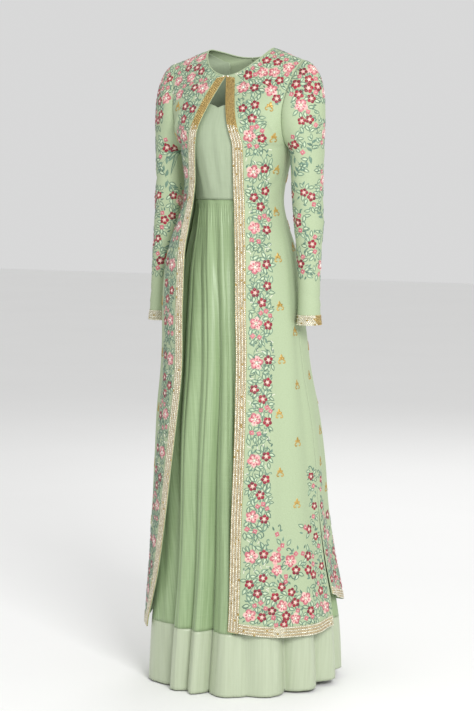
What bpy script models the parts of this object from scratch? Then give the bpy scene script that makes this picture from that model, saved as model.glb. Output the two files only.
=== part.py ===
"""Anarkali gown with a long open-front jacket, as it is worn, with nobody inside.

The inner layer is a sleeveless floor-length gown: a fitted bodice, a gathered skirt in deep soft folds and a
wide plain hem band. The outer layer is a long jacket: two fronts that meet only at the neck, a back, set-in
sleeves, side slits, and beaded bands along the front edges, the hem and the cuffs.

Metres, +Z up. The wearer faces -Y and the wearer's left side is +X. The origin is the middle of the shoulder
line, where the wearer holds the garment up. The tables give heights above the gown's hem.
"""

import math

import bpy
import numpy as np

# Driving sizes, in metres
SHOULDER_HEIGHT = 1.360  # from the gown's hem up to the origin
SILK = 0.0018  # wall of the gown's skirt and bodice
CREPE = 0.0015  # wall of the jacket
BEADING = 0.0010  # wall of the beaded bands
SEAM_GAP = 0.0003
WAIST_GAP = 0.0006  # the walls tilt towards each other at the waist seam
SHOULDER_GAP = 0.0005  # and a little at the shoulder seam
BAND_WIDTH = 0.022  # beaded bands
UNDERARM = 1.180
WAIST = 1.064
SLIT_TOP = 0.434
BAND_SEAM = 0.135  # top of the gown's hem band
NECK_SHARE_FRONT = 0.60  # share of a front's upper rows that lies below the neckline
NECK_SHARE_BACK = 0.78
GOWN_INSET = 0.0080  # from the jacket's middle surface in to the bodice's
STRAP_INSET = 0.0021  # the same beside the shoulder seam, where the jacket rests on the straps
STRAP_DROP = 0.0021  # straight down from the jacket's shoulder seam to the bodice's
INSET_FADE = 0.80  # share of the height from which the inset narrows to the strap's
BINDING_RADIUS = 0.0014
LEFT = 1
RIGHT = -1

# Rings of the jacket and the gown: height, half width, half depth, centre y
JACKET_RINGS = (
    (0.050, 0.231, 0.221, 0.030),
    (0.135, 0.226, 0.216, 0.030),
    (0.190, 0.220, 0.210, 0.028),
    (0.270, 0.208, 0.200, 0.020),
    (0.390, 0.196, 0.188, 0.010),
    (0.483, 0.190, 0.182, 0.008),
    (0.598, 0.178, 0.168, 0.003),
    (0.687, 0.162, 0.152, 0.000),
    (0.780, 0.150, 0.140, 0.000),
    (0.860, 0.142, 0.126, 0.000),
    (0.907, 0.137, 0.118, 0.000),
    (0.968, 0.126, 0.106, 0.000),
    (1.010, 0.113, 0.095, -0.001),
    (1.057, 0.1035, 0.0865, -0.002),
    (1.095, 0.107, 0.091, -0.004),
    (1.137, 0.118, 0.100, -0.006),
    (1.180, 0.127, 0.108, -0.008),
)
GOWN_RINGS = (
    (0.000, 0.219, 0.216, 0.025),
    (0.135, 0.2125, 0.2050, 0.025),
    (0.190, 0.206, 0.198, 0.022),
    (0.270, 0.198, 0.190, 0.018),
    (0.390, 0.187, 0.179, 0.010),
    (0.483, 0.181, 0.173, 0.008),
    (0.598, 0.169, 0.159, 0.003),
    (0.687, 0.154, 0.144, 0.000),
    (0.780, 0.142, 0.132, 0.000),
    (0.860, 0.133, 0.117, 0.000),
    (0.907, 0.127, 0.109, 0.000),
    (0.968, 0.115, 0.096, 0.000),
    (1.010, 0.104, 0.087, -0.001),
    (1.057, 0.0965, 0.0795, -0.002),
    (1.095, 0.100, 0.084, -0.004),
    (1.137, 0.110, 0.092, -0.006),
    (1.180, 0.119, 0.100, -0.008),
)

# Front edges of the jacket: height, angle from the centre front in degrees
FRONT_EDGE = {
    LEFT: (
        (0.050, 18.0),
        (0.144, 18.8),
        (0.305, 21.3),
        (0.508, 24.2),
        (0.640, 25.6),
        (0.757, 26.0),
        (0.842, 24.3),
        (0.957, 22.4),
        (1.057, 21.0),
        (1.180, 21.2),
    ),
    RIGHT: (
        (0.050, 50.0),
        (0.127, 45.0),
        (0.219, 35.5),
        (0.284, 31.0),
        (0.386, 26.0),
        (0.498, 22.0),
        (0.599, 18.5),
        (0.675, 17.0),
        (0.797, 17.0),
        (0.900, 18.0),
        (0.990, 22.0),
        (1.057, 26.0),
        (1.100, 25.0),
        (1.180, 21.2),
    ),
}

# How far a front hangs off the ring at its edge: height, distance
STAND_OFF = {
    LEFT: ((0.050, 0.0), (0.600, 0.002), (0.860, 0.006), (1.000, 0.009), (1.060, 0.008), (1.120, 0.003), (1.180, 0.0)),
    RIGHT: (
        (0.050, 0.000),
        (0.300, 0.005),
        (0.598, 0.008),
        (0.744, 0.019),
        (0.860, 0.032),
        (0.968, 0.034),
        (1.057, 0.024),
        (1.120, 0.009),
        (1.180, 0.000),
    ),
}
STAND_OFF_REACH = {LEFT: 35.0, RIGHT: 45.0}  # degrees of ring over which the stand-off fades
STAND_OFF_END = {LEFT: 60.0, RIGHT: 92.0}

# Height of the jacket's hem: share of the way from the front edge, or the centre back, to the side slit
FRONT_HEM = {
    LEFT: ((0.0, 0.142), (0.35, 0.129), (0.75, 0.127), (1.0, 0.136)),
    RIGHT: ((0.0, 0.118), (0.40, 0.124), (1.0, 0.136)),
}
BACK_HEM = ((0.0, 0.150), (0.55, 0.162), (1.0, 0.204))

# Soft folds of the jacket's skirt, over the gown's own valleys: angle, width in degrees, depth at the hem
JACKET_FOLDS = (
    (-72.0, 7.0, 0.005),
    (42.0, 7.0, 0.002),
    (58.0, 8.0, 0.006),
    (83.0, 6.0, 0.005),
    (107.0, 8.0, 0.011),
    (152.0, 9.0, 0.009),
)
JACKET_FOLD_TOP = 0.80
JACKET_FOLD_FULL = 0.25  # height where the folds reach their full depth

# Valleys between the gown's folds: angle at the waist, hip, knee and hem in degrees, depth at the hem
VALLEY_HEIGHTS = (0.0, 0.45, 0.77, 1.064)
VALLEYS = (
    (-52.0, -34.0, -24.0, -25.0, 0.028),
    (-31.0, -9.5, -5.5, -9.5, 0.024),
    (-9.0, 9.0, 9.0, 4.0, 0.038),
    (9.0, 22.0, 25.0, 31.0, 0.017),
    (34.0, 42.0, 52.0, 57.5, 0.036),
    (62.0, 68.0, 78.0, 84.5, 0.030),
    (90.0, 97.0, 104.0, 107.0, 0.028),
    (112.0, 120.0, 126.0, 128.0, 0.032),
    (134.0, 141.0, 147.0, 149.0, 0.026),
    (156.0, 162.0, 167.0, 169.0, 0.032),
    (178.0, 183.0, 187.0, 189.0, 0.028),
    (200.0, 203.0, 206.0, 207.0, 0.032),
    (220.0, 224.0, 227.0, 227.0, 0.026),
    (242.0, 245.0, 247.0, 247.0, 0.032),
    (263.0, 266.0, 268.0, 268.0, 0.030),
    (283.0, 288.0, 290.0, 290.0, 0.032),
)
FOLD_GROWTH = (
    (0.000, 1.00),
    (0.200, 0.92),
    (0.450, 0.74),
    (0.600, 0.60),
    (0.770, 0.44),
    (0.900, 0.30),
    (1.000, 0.16),
    (1.064, 0.05),
)

# How much the gown's hem rises above its lowest point: angle in degrees, distance
HEM_LIFT = (
    (-90.0, 0.006),
    (-40.0, 0.001),
    (0.0, 0.000),
    (60.0, 0.002),
    (85.0, 0.008),
    (115.0, 0.018),
    (180.0, 0.014),
    (270.0, 0.006),
    (330.0, 0.000),
)
VALLEY_REACH = 0.55  # share of a fold's width that its valley takes
GATHER_DEPTH = 0.0022  # small gathers just under the waist seam
GATHER_FADE = 0.16
FOLD_STEPS = (0.0, 0.09, 0.26, 0.5, 0.74, 0.91)  # columns across one fold
BESIDE_SEAM = 0.03  # one more column on each side of a side seam, so that the walls meet squarely
LEFT_SEAM_FOLD = 5  # the fold whose crest holds the left side seam
RIGHT_SEAM_FOLD = 14

# Heights of the rows
SKIRT_ROWS = (1.064, 1.030, 0.985, 0.93, 0.86, 0.77, 0.67, 0.56, 0.45, 0.34, 0.23, 0.135)
HEM_BAND_ROWS = (0.135, 0.068, 0.0)
BODICE_ROWS = (1.180, 1.140, 1.100, 1.064)
JACKET_ROWS = (1.180, 1.137, 1.097, 1.057, 1.010, 0.950, 0.875, 0.790, 0.700, 0.610, 0.520, 0.434)
SLIT_ROWS = (0.36, 0.70)  # shares of the way from the slit's top to the beaded hem band
FRONT_SHARES = (0.0, 0.09, 0.18, 0.28, 0.39, 0.50, 0.60, 0.68, 0.77, 0.86, 0.94, 0.985, 1.0)
BACK_SHARES = (0.0, 0.10, 0.22, 0.36, 0.50, 0.64, 0.78, 0.87, 0.94, 0.985, 1.0)
BODICE_SHARES = (0.0, 0.12, 0.24, 0.345, 0.44, 0.56, 0.70, 0.84, 0.94, 0.985, 1.0)
FRONT_COLUMNS = 10
BACK_COLUMNS = 9
BODICE_COLUMNS = 8
ROW_SAMPLES = 81
SLIT_OPENING = 0.004

# Centre lines of the body above the underarm: share, y, height
FRONT_CENTRE = ((0.0, -0.116, 1.180), (0.20, -0.1135, 1.228), (0.40, -0.088, 1.279), (0.60, -0.0555, 1.3295))
BACK_CENTRE = ((0.0, 0.100, 1.180), (0.26, 0.104, 1.245), (0.52, 0.093, 1.310), (0.78, 0.062, 1.372))
# Neck edges, right round from the centre front to the centre back: turn, x, y, height
NECK_EDGE = (
    (-0.20, -0.020, -0.0530, 1.3330),
    (0.00, 0.000, -0.0555, 1.3295),
    (0.20, 0.020, -0.0530, 1.3330),
    (0.42, 0.039, -0.0480, 1.3420),
    (0.72, 0.063, -0.0290, 1.3620),
    (1.00, 0.081, 0.0060, 1.3880),
    (1.30, 0.070, 0.0380, 1.3860),
    (1.65, 0.034, 0.0580, 1.3750),
    (2.00, 0.000, 0.0620, 1.3720),
    (2.35, -0.034, 0.0580, 1.3750),
)
# Bodice edges, as shares of the body's width at a share of the height: share, neck edge, armhole edge
BODICE_EDGES = {
    "front": (
        (0.000, 0.000, 1.000),
        (0.345, 0.000, 0.900),
        (0.440, 0.330, 0.850),
        (0.560, 0.420, 0.790),
        (0.700, 0.350, 0.720),
        (0.840, 0.220, 0.640),
        (1.000, 0.100, 0.600),
    ),
    "back": (
        (0.000, 0.000, 1.000),
        (0.345, 0.000, 0.920),
        (0.440, 0.240, 0.870),
        (0.560, 0.380, 0.810),
        (0.700, 0.380, 0.730),
        (0.840, 0.270, 0.650),
        (1.000, 0.100, 0.600),
    ),
}

# Armholes, from the shoulder tip at -1 down the back to the underarm at 0 and up the front to +1: turn, x, y, height
ARMHOLE = (
    (-1.28, 0.148, -0.030, 1.3260),
    (-1.00, 0.160, 0.003, 1.3620),
    (-0.72, 0.150, 0.036, 1.3260),
    (-0.38, 0.141, 0.048, 1.2500),
    (-0.15, 0.135, 0.026, 1.1960),
    (0.00, 0.127, -0.008, 1.1800),
    (0.15, 0.130, -0.036, 1.1960),
    (0.38, 0.135, -0.053, 1.2500),
    (0.72, 0.148, -0.030, 1.3260),
    (1.00, 0.160, 0.003, 1.3620),
    (1.28, 0.150, 0.036, 1.3260),
)
SHOULDER_SLOPE = 0.30  # how steeply a row just under the shoulder leaves the neckline
SIDE_SLOPE = 0.28  # and how steeply it comes into the armhole
UNDERARM_TURN = 0.25  # how far the lowest rows still turn outwards as they reach the underarm
EDGE_FADE = 1.7  # power by which a front's edge closes in from the underarm to the neck
NORMAL_STEP = 0.004  # shares of the height between the rows that a normal is measured from
RING_BLEND = 0.40  # share of the upper rows over which the underarm ring's own curve fades
CENTRE_PULL = 0.36  # length of the curve handles, as a share of the row
SIDE_PULL = 0.34

# Sleeves: height, x, y, half width, half depth
SLEEVE_RINGS = {
    LEFT: (
        (1.160, 0.1700, -0.002, 0.0340, 0.041),
        (1.110, 0.1710, -0.003, 0.0330, 0.038),
        (1.065, 0.1725, -0.003, 0.0320, 0.036),
        (1.022, 0.1745, -0.003, 0.0310, 0.034),
        (0.990, 0.1760, -0.004, 0.0290, 0.031),
        (0.955, 0.1770, -0.005, 0.0260, 0.028),
        (0.912, 0.1775, -0.006, 0.0235, 0.026),
        (0.862, 0.1780, -0.006, 0.0225, 0.025),
        (0.817, 0.1780, -0.006, 0.0235, 0.026),
        (0.795, 0.1785, -0.006, 0.0255, 0.027),
    ),
    RIGHT: (
        (1.160, 0.1700, -0.002, 0.0340, 0.041),
        (1.110, 0.1705, -0.004, 0.0330, 0.038),
        (1.065, 0.1720, -0.007, 0.0320, 0.036),
        (1.022, 0.1745, -0.010, 0.0310, 0.034),
        (0.990, 0.1765, -0.014, 0.0290, 0.031),
        (0.955, 0.1785, -0.020, 0.0260, 0.028),
        (0.912, 0.1800, -0.026, 0.0235, 0.026),
        (0.862, 0.1815, -0.031, 0.0225, 0.025),
        (0.817, 0.1820, -0.033, 0.0235, 0.026),
        (0.795, 0.1825, -0.034, 0.0255, 0.027),
    ),
}
CAP_SHARES = (0.0, 0.12, 0.30, 0.52, 0.76)
CAP_PULL = 0.95
CAP_AT_UNDERARM = (0.5, 0.0, -0.85)  # the way a sleeve leaves the armhole at the underarm
CAP_AT_TIP = (1.0, 0.0, -0.25)  # and at the shoulder tip
CAP_LEAN = 0.35  # how far it leans to the front and back between them
ARMHOLE_GAP_TOP = 0.0007
ARMHOLE_GAP_UNDERARM = 0.0021

COLOURS = {
    "gown_silk": ("9DB884", 0.42, 0.0),
    "gown_satin": ("B4CB98", 0.34, 0.0),
    "jacket_crepe": ("A8C68C", 0.62, 0.0),
    "gold_beading": ("C9A961", 0.30, 0.85),
}


def smooth(share):
    """Ease from 0 to 1 with no slope at either end."""
    share = np.clip(share, 0.0, 1.0)
    return share * share * (3.0 - 2.0 * share)


def follow(table, at):
    """Read a table's columns at a place in its first column, along a smooth curve."""
    rows = np.array(table, dtype=float)
    places, values = rows[:, 0], rows[:, 1:]
    slopes = np.gradient(values, places, axis=0)
    at = np.clip(np.asarray(at, dtype=float), places[0], places[-1])
    low = np.clip(np.searchsorted(places, at, side="right") - 1, 0, len(places) - 2)
    width = places[low + 1] - places[low]
    t = ((at - places[low]) / width)[..., None]
    width = width[..., None]
    rise = (2 * t**3 - 3 * t**2 + 1) * values[low] + (3 * t**2 - 2 * t**3) * values[low + 1]
    bend = (t**3 - 2 * t**2 + t) * slopes[low] + (t**3 - t**2) * slopes[low + 1]
    return rise + bend * width


def unit(vectors):
    """Scale vectors to length 1."""
    return vectors / np.maximum(np.linalg.norm(vectors, axis=-1, keepdims=True), 1e-12)


def space_out(row, distances):
    """Points of a densely sampled row at distances along it."""
    steps = np.linalg.norm(np.diff(row, axis=0), axis=1)
    along = np.concatenate(([0.0], np.cumsum(steps)))
    return np.stack([np.interp(distances, along, row[:, axis]) for axis in range(3)], axis=1)


def row_length(row):
    """Length of a densely sampled row."""
    return float(np.linalg.norm(np.diff(row, axis=0), axis=1).sum())


def ring(rings, degrees, height, off=0.0):
    """Points on a ring table at angles from the centre front and at heights."""
    degrees, height = np.broadcast_arrays(degrees, height)
    sizes = follow(rings, height)
    turn = np.radians(degrees)
    x = (sizes[..., 0] + off) * np.sin(turn)
    y = sizes[..., 2] - (sizes[..., 1] + off) * np.cos(turn)
    return np.stack([x, y, height], axis=-1)


def upper_row(shares_across, share, centre, side, ring_row, ring_base):
    """One row above the underarm: a curve from the centre or neckline to the armhole."""
    forward = np.sign(ring_row[0, 1])
    span = np.linalg.norm(side - centre)
    ease = float(smooth(share))
    from_centre = unit(np.array([1.0, 0.0, -SHOULDER_SLOPE * ease]))
    round_the_side = np.array([UNDERARM_TURN, -forward, 0.0])
    down_the_arm = np.array([1.0, 0.0, -SIDE_SLOPE])
    into_side = unit((1 - ease) * round_the_side + ease * down_the_arm)
    first = centre + from_centre * CENTRE_PULL * span
    second = side - into_side * SIDE_PULL * span
    u = shares_across[:, None]
    curve = (1 - u) ** 3 * centre + 3 * (1 - u) ** 2 * u * first + 3 * (1 - u) * u**2 * second + u**3 * side
    if ring_base is None:
        return curve
    return curve + (ring_row - ring_base) * (1 - smooth(share / RING_BLEND))


def upper_edges(share, front):
    """Centre and armhole ends of one row above the underarm, on the wearer's left."""
    neck_share = NECK_SHARE_FRONT if front else NECK_SHARE_BACK
    if share <= neck_share:
        y, height = follow(FRONT_CENTRE if front else BACK_CENTRE, share)
        centre = np.array([0.0, y, height])
    else:
        turn = (share - neck_share) / (1.0 - neck_share)
        centre = follow(NECK_EDGE, turn if front else 2.0 - turn)
    return centre, follow(ARMHOLE, share if front else -share)


def upper_body(across, share, front):
    """Points of the jacket's middle surface above the underarm, at shares of the way across one row."""
    angles = across * 90.0 if front else 180.0 - across * 90.0
    ring_row = ring(JACKET_RINGS, angles, UNDERARM)
    base = upper_row(across, 0.0, *upper_edges(0.0, front), ring_row, None)
    return upper_row(across, share, *upper_edges(share, front), ring_row, base)


def shoulder_gap(front):
    """Half of the shoulder seam's gap, away from the other panel."""
    return np.array([0.0, -SHOULDER_GAP / 2 if front else SHOULDER_GAP / 2, 0.0])


def upper_rows(shares, front):
    """Dense rows of the jacket above the underarm for half of a front or a back."""
    across = np.linspace(0.0, 1.0, ROW_SAMPLES)
    rows = [upper_body(across, share, front) for share in shares]
    rows[-1] = rows[-1] + shoulder_gap(front)
    return rows


def fold_drop(degrees, height):
    """How far the jacket's soft folds dip inwards."""
    growth = smooth((JACKET_FOLD_TOP - np.asarray(height)) / (JACKET_FOLD_TOP - JACKET_FOLD_FULL))
    drop = np.zeros(np.broadcast(degrees, height).shape)
    for angle, width, depth in JACKET_FOLDS:
        away = (np.mod(np.asarray(degrees) - angle + 180.0, 360.0) - 180.0) / width
        drop = drop + depth * np.exp(-(away**2))
    return drop * growth


def jacket_front_row(side, height, hem=None):
    """A dense row of a front from its edge to the side seam, on the wearer's left."""
    heights = np.full(ROW_SAMPLES, height)
    if hem is not None:
        heights = hem(np.linspace(0.0, 1.0, ROW_SAMPLES))
    angles = np.linspace(float(follow(FRONT_EDGE[side], heights[0])[0]), 90.0, ROW_SAMPLES)
    off = follow(STAND_OFF[side], heights)[:, 0]
    fade = smooth((STAND_OFF_END[side] - angles) / STAND_OFF_REACH[side])
    off = off * fade - fold_drop(side * angles, heights)
    return ring(JACKET_RINGS, angles, heights, off)


def jacket_back_row(height, hem=None):
    """A dense row of the back from the centre to the side seam, on the wearer's left."""
    angles = np.linspace(180.0, 90.0, ROW_SAMPLES)
    heights = np.full(ROW_SAMPLES, height)
    if hem is not None:
        heights = hem(np.linspace(0.0, 1.0, ROW_SAMPLES))
    return ring(JACKET_RINGS, angles, heights, -fold_drop(angles, heights))


def slit_rows(hem_table):
    """Functions that give the heights of the rows beside the slit, down to the hem."""

    def hem(shares):
        return follow(hem_table, shares)[:, 0]

    def part_way(part):
        return lambda shares: SLIT_TOP + (hem(shares) + BAND_WIDTH - SLIT_TOP) * part

    return [part_way(part) for part in SLIT_ROWS] + [part_way(1.0), hem]


def with_edge_band(row, columns):
    """Points of a row: one at the edge, one a band's width in, and the rest evenly spaced."""
    length = row_length(row)
    distances = np.concatenate(([0.0], np.linspace(BAND_WIDTH, length, columns)))
    return space_out(row, distances)


def evenly(row, columns):
    """Points of a row, evenly spaced."""
    return space_out(row, np.linspace(0.0, row_length(row), columns + 1))


def pull_in(grid, gap, column):
    """Move an end column of a grid in along its rows, to leave half a seam's gap."""
    nearest = 1 if column == 0 else -2
    grid[:, column] += unit(grid[:, nearest] - grid[:, column]) * gap
    return grid


def open_slit(grid, rows_above):
    """Part a panel's side edge below the top of the slit."""
    below = len(grid) - rows_above
    opening = np.zeros(len(grid))
    opening[rows_above:] = SLIT_OPENING * np.linspace(1.0 / below, 1.0, below)
    grid[:, -1] += unit(grid[:, -2] - grid[:, -1]) * opening[:, None]
    return grid


def jacket_front_grid(side):
    """Grid of a front's middle surface, on the wearer's left: rows from the shoulder to the hem."""
    edge_share = float(follow(FRONT_EDGE[side], UNDERARM)[0]) / 90.0
    upper = upper_rows(FRONT_SHARES, True)
    rows = []
    for share, dense in zip(FRONT_SHARES, upper):
        start = edge_share * (1.0 - min(share / NECK_SHARE_FRONT, 1.0) ** EDGE_FADE)
        first = start * (ROW_SAMPLES - 1)
        cut = np.array([np.interp(first, np.arange(ROW_SAMPLES), dense[:, axis]) for axis in range(3)])
        rest = dense[int(first) + 1 :]
        rows.append(with_edge_band(np.vstack([cut, rest]), FRONT_COLUMNS))
    rows.reverse()
    for height in JACKET_ROWS[1:]:
        rows.append(with_edge_band(jacket_front_row(side, height), FRONT_COLUMNS))
    for hem in slit_rows(FRONT_HEM[side]):
        rows.append(with_edge_band(jacket_front_row(side, SLIT_TOP, hem), FRONT_COLUMNS))
    grid = np.array(rows)
    grid = pull_in(grid, SEAM_GAP / 2, 0)
    grid = pull_in(grid, SEAM_GAP / 2, -1)
    return open_slit(grid, len(FRONT_SHARES) + len(JACKET_ROWS) - 1)


def jacket_back_grid():
    """Grid of the back's half on the wearer's left: rows from the shoulder to the hem."""
    upper = upper_rows(BACK_SHARES, False)
    rows = [evenly(row, BACK_COLUMNS) for row in upper]
    rows.reverse()
    rows += [evenly(jacket_back_row(height), BACK_COLUMNS) for height in JACKET_ROWS[1:]]
    rows += [evenly(jacket_back_row(SLIT_TOP, hem), BACK_COLUMNS) for hem in slit_rows(BACK_HEM)]
    grid = pull_in(np.array(rows), SEAM_GAP / 2, -1)
    return open_slit(grid, len(BACK_SHARES) + len(JACKET_ROWS) - 1)


def bodice_upper_row(share, front):
    """A dense row of the bodice above the underarm, inside the jacket's surface."""
    neck, armhole = follow(BODICE_EDGES["front" if front else "back"], share)
    across = np.linspace(max(neck, 0.0), min(armhole, 1.0), ROW_SAMPLES)
    if share == 1.0:
        return upper_body(across, share, front) - np.array([0.0, 0.0, STRAP_DROP])
    low, high = max(share - NORMAL_STEP, 0.0), min(share + NORMAL_STEP, 1.0)
    up = upper_body(across, high, front) - upper_body(across, low, front)
    middle = upper_body(across, share, front)
    outward = unit(np.cross(np.gradient(middle, axis=0), up))
    if not front:
        outward = -outward
    if neck <= 0.0:
        outward[0, 0] = 0.0
    inset = GOWN_INSET + (STRAP_INSET - GOWN_INSET) * smooth((share - INSET_FADE) / (1.0 - INSET_FADE))
    return middle - unit(outward) * inset


def bodice_grid(front):
    """Grid of a bodice half on the wearer's left: rows from the shoulder to the waist seam."""
    angles = np.linspace(0.0 if front else 180.0, 90.0, ROW_SAMPLES)
    rows = [evenly(ring(GOWN_RINGS, angles, UNDERARM), BODICE_COLUMNS)]
    rows += [evenly(bodice_upper_row(share, front), BODICE_COLUMNS) for share in BODICE_SHARES[1:]]
    rows[-1] = rows[-1] + shoulder_gap(front)
    rows.reverse()
    for height in BODICE_ROWS[1:]:
        rows.append(evenly(ring(GOWN_RINGS, angles, height), BODICE_COLUMNS))
    grid = pull_in(np.array(rows), SEAM_GAP / 2, -1)
    grid[-1, :, 2] += WAIST_GAP / 2
    return grid


def valley(share):
    """How deep the cloth lies at a share of the way from a valley's floor to its rim."""
    return np.maximum(0.0, 1.0 - share / VALLEY_REACH) ** 2


def fold_column(fold, across, heights):
    """One column of the gown's skirt: its points at a place across a fold."""
    count = len(VALLEYS)
    here = np.array(VALLEYS[fold % count][:4]) + 360.0 * (fold // count)
    after = np.array(VALLEYS[(fold + 1) % count][:4]) + 360.0 * ((fold + 1) // count)
    heights = np.asarray(heights, dtype=float)
    places = np.array([VALLEY_HEIGHTS, ((1 - across) * here + across * after)[::-1]]).T
    degrees = follow(places, heights)[:, 0]
    lift = follow(HEM_LIFT, degrees)[:, 0]
    growth = follow(FOLD_GROWTH, heights)[:, 0]
    heights = heights + lift * np.clip(1.0 - heights / BAND_SEAM, 0.0, 1.0)
    depth = VALLEYS[fold % count][4] * valley(across) + VALLEYS[(fold + 1) % count][4] * valley(1 - across)
    gathers = GATHER_DEPTH * (0.5 - 0.5 * math.cos(4.0 * math.pi * across))
    gathers = gathers * np.sin(math.pi * np.clip((WAIST - heights) / GATHER_FADE, 0.0, 1.0))
    return ring(GOWN_RINGS, degrees, heights, -depth * growth - gathers)


def fold_grid(heights, first_fold, last_fold):
    """Grid of the gown's skirt from the crest of one fold to the crest of another."""
    columns = []
    for fold in range(first_fold, last_fold + 1):
        steps = FOLD_STEPS
        if fold == first_fold:
            steps = (0.5, 0.5 + BESIDE_SEAM, *[across for across in FOLD_STEPS if across > 0.5])
        if fold == last_fold:
            steps = (*[across for across in FOLD_STEPS if across < 0.5], 0.5 - BESIDE_SEAM, 0.5)
        columns += [fold_column(fold, across, heights) for across in steps]
    grid = np.stack(columns, axis=1)
    grid = pull_in(grid, SEAM_GAP / 2, 0)
    return pull_in(grid, SEAM_GAP / 2, -1)


def sleeve_grid(side):
    """Closed grid of a sleeve, on the wearer's left: rows from the armhole to the wrist."""
    turns = list(FRONT_SHARES) + [-share for share in reversed(BACK_SHARES[1:-1])]
    columns = []
    for turn in turns:
        share = abs(turn)
        start = follow(ARMHOLE, turn)
        start[0] += ARMHOLE_GAP_UNDERARM + (ARMHOLE_GAP_TOP - ARMHOLE_GAP_UNDERARM) * share
        around = math.pi * share
        lean = -1.0 if turn > 0 else 1.0
        down = [
            (x - wide * math.cos(around), y + lean * deep * math.sin(around), height)
            for height, x, y, wide, deep in SLEEVE_RINGS[side]
        ]
        down = np.array(down)
        reach = np.linalg.norm(down[0] - start)
        away = (1 - share) * np.array(CAP_AT_UNDERARM) + share * np.array(CAP_AT_TIP)
        away = unit(away + np.array([0.0, CAP_LEAN * lean * math.sin(around), 0.0]))
        fall = np.array([0.0, 0.0, -1.0])
        cap = []
        for t in CAP_SHARES:
            rise = (2 * t**3 - 3 * t**2 + 1) * start + (3 * t**2 - 2 * t**3) * down[0]
            bend = (t**3 - 2 * t**2 + t) * away + (t**3 - t**2) * fall
            cap.append(rise + bend * CAP_PULL * reach)
        columns.append(np.vstack([np.array(cap), down]))
    return np.stack(columns, axis=1)


def mirrored(grid, side):
    """The grid on its own side of the body."""
    return grid * np.array([side, 1.0, 1.0])


def grid_normals(grid, closed=False, on_plane=False):
    """Outward normals of a grid whose rows go down the body."""
    if closed:
        across = np.roll(grid, -1, axis=1) - np.roll(grid, 1, axis=1)
    else:
        across = np.gradient(grid, axis=1)
    down = np.gradient(grid, axis=0)
    normals = unit(np.cross(down, across))
    if on_plane:
        normals[:, 0, 0] = 0.0
        normals = unit(normals)
    middle = grid.mean(axis=1, keepdims=True)
    inward = (np.sum(normals * (grid - middle) * np.array([1.0, 1.0, 0.0]), axis=-1) < 0.0).mean() > 0.5
    return -normals if inward else normals


def lifted(grid, wall, closed=False, on_plane=False):
    """A grid moved out, to carry a beaded band on a wall's face."""
    out = wall / 2 + SEAM_GAP + BEADING / 2
    return grid + grid_normals(grid, closed, on_plane) * out


def linear(hex_colour):
    """Linear colour from an sRGB hex value."""
    channels = [int(hex_colour[i : i + 2], 16) / 255.0 for i in (0, 2, 4)]
    values = [c / 12.92 if c <= 0.04045 else ((c + 0.055) / 1.055) ** 2.4 for c in channels]
    return (*values, 1.0)


def make_material(name):
    """A Principled material from the colour table."""
    colour, roughness, metallic = COLOURS[name]
    material = bpy.data.materials.new(name)
    material.use_nodes = True
    shader = material.node_tree.nodes["Principled BSDF"]
    shader.inputs["Base Color"].default_value = linear(colour)
    shader.inputs["Roughness"].default_value = roughness
    shader.inputs["Metallic"].default_value = metallic
    material.diffuse_color = linear(colour)
    return material


class Maker:
    """Builds named objects in one collection."""

    def __init__(self, collection_name):
        self.collection = bpy.data.collections.new(collection_name)
        bpy.context.scene.collection.children.link(self.collection)
        self.materials = {name: make_material(name) for name in COLOURS}

    def shell(self, name, grid, wall, material, closed=False, mirror=False):
        """A wall of cloth about a grid of points, by Solidify."""
        rows, columns = grid.shape[:2]
        mesh = bpy.data.meshes.new(name)
        points = grid.reshape(-1, 3) - np.array([0.0, 0.0, SHOULDER_HEIGHT])
        faces = []
        for row in range(rows - 1):
            for column in range(columns if closed else columns - 1):
                after = (column + 1) % columns
                low, high = row * columns, (row + 1) * columns
                faces.append((low + column, high + column, high + after, low + after))
        mesh.from_pydata(points.tolist(), [], faces)
        mesh.shade_smooth()
        cloth = bpy.data.objects.new(name, mesh)
        self.collection.objects.link(cloth)
        cloth.data.materials.append(self.materials[material])
        if mirror:
            half = cloth.modifiers.new("other half", "MIRROR")
            half.merge_threshold = 0.0001
        wall_maker = cloth.modifiers.new("cloth wall", "SOLIDIFY")
        wall_maker.thickness = wall
        wall_maker.offset = 0.0
        return cloth

    def cord(self, name, points, radius, material):
        """A thin tube along points."""
        path = bpy.data.curves.new(name, "CURVE")
        path.dimensions = "3D"
        path.bevel_depth = radius
        path.bevel_resolution = 1
        path.use_fill_caps = True
        line = path.splines.new("POLY")
        line.points.add(len(points) - 1)
        for target, point in zip(line.points, points - np.array([0.0, 0.0, SHOULDER_HEIGHT])):
            target.co = (*point, 1.0)
        cord = bpy.data.objects.new(name, path)
        self.collection.objects.link(cord)
        cord.data.materials.append(self.materials[material])
        return cord


def build_gown(maker):
    """The inner layer."""
    for name, front in (("front", True), ("back", False)):
        maker.shell(f"gown_bodice_{name}", bodice_grid(front), SILK, "gown_silk", mirror=True)
    count = len(VALLEYS)
    spans = {"front": (RIGHT_SEAM_FOLD - count, LEFT_SEAM_FOLD), "back": (LEFT_SEAM_FOLD, RIGHT_SEAM_FOLD)}
    for name, (first, last) in spans.items():
        skirt = fold_grid(SKIRT_ROWS, first, last)
        skirt[0, :, 2] -= WAIST_GAP / 2
        skirt[-1, :, 2] += SEAM_GAP / 2
        maker.shell(f"gown_skirt_{name}", skirt, SILK, "gown_silk")
        band = fold_grid(HEM_BAND_ROWS, first, last)
        band[0, :, 2] -= SEAM_GAP / 2
        maker.shell(f"gown_hem_band_{name}", band, SILK, "gown_satin")


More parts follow.
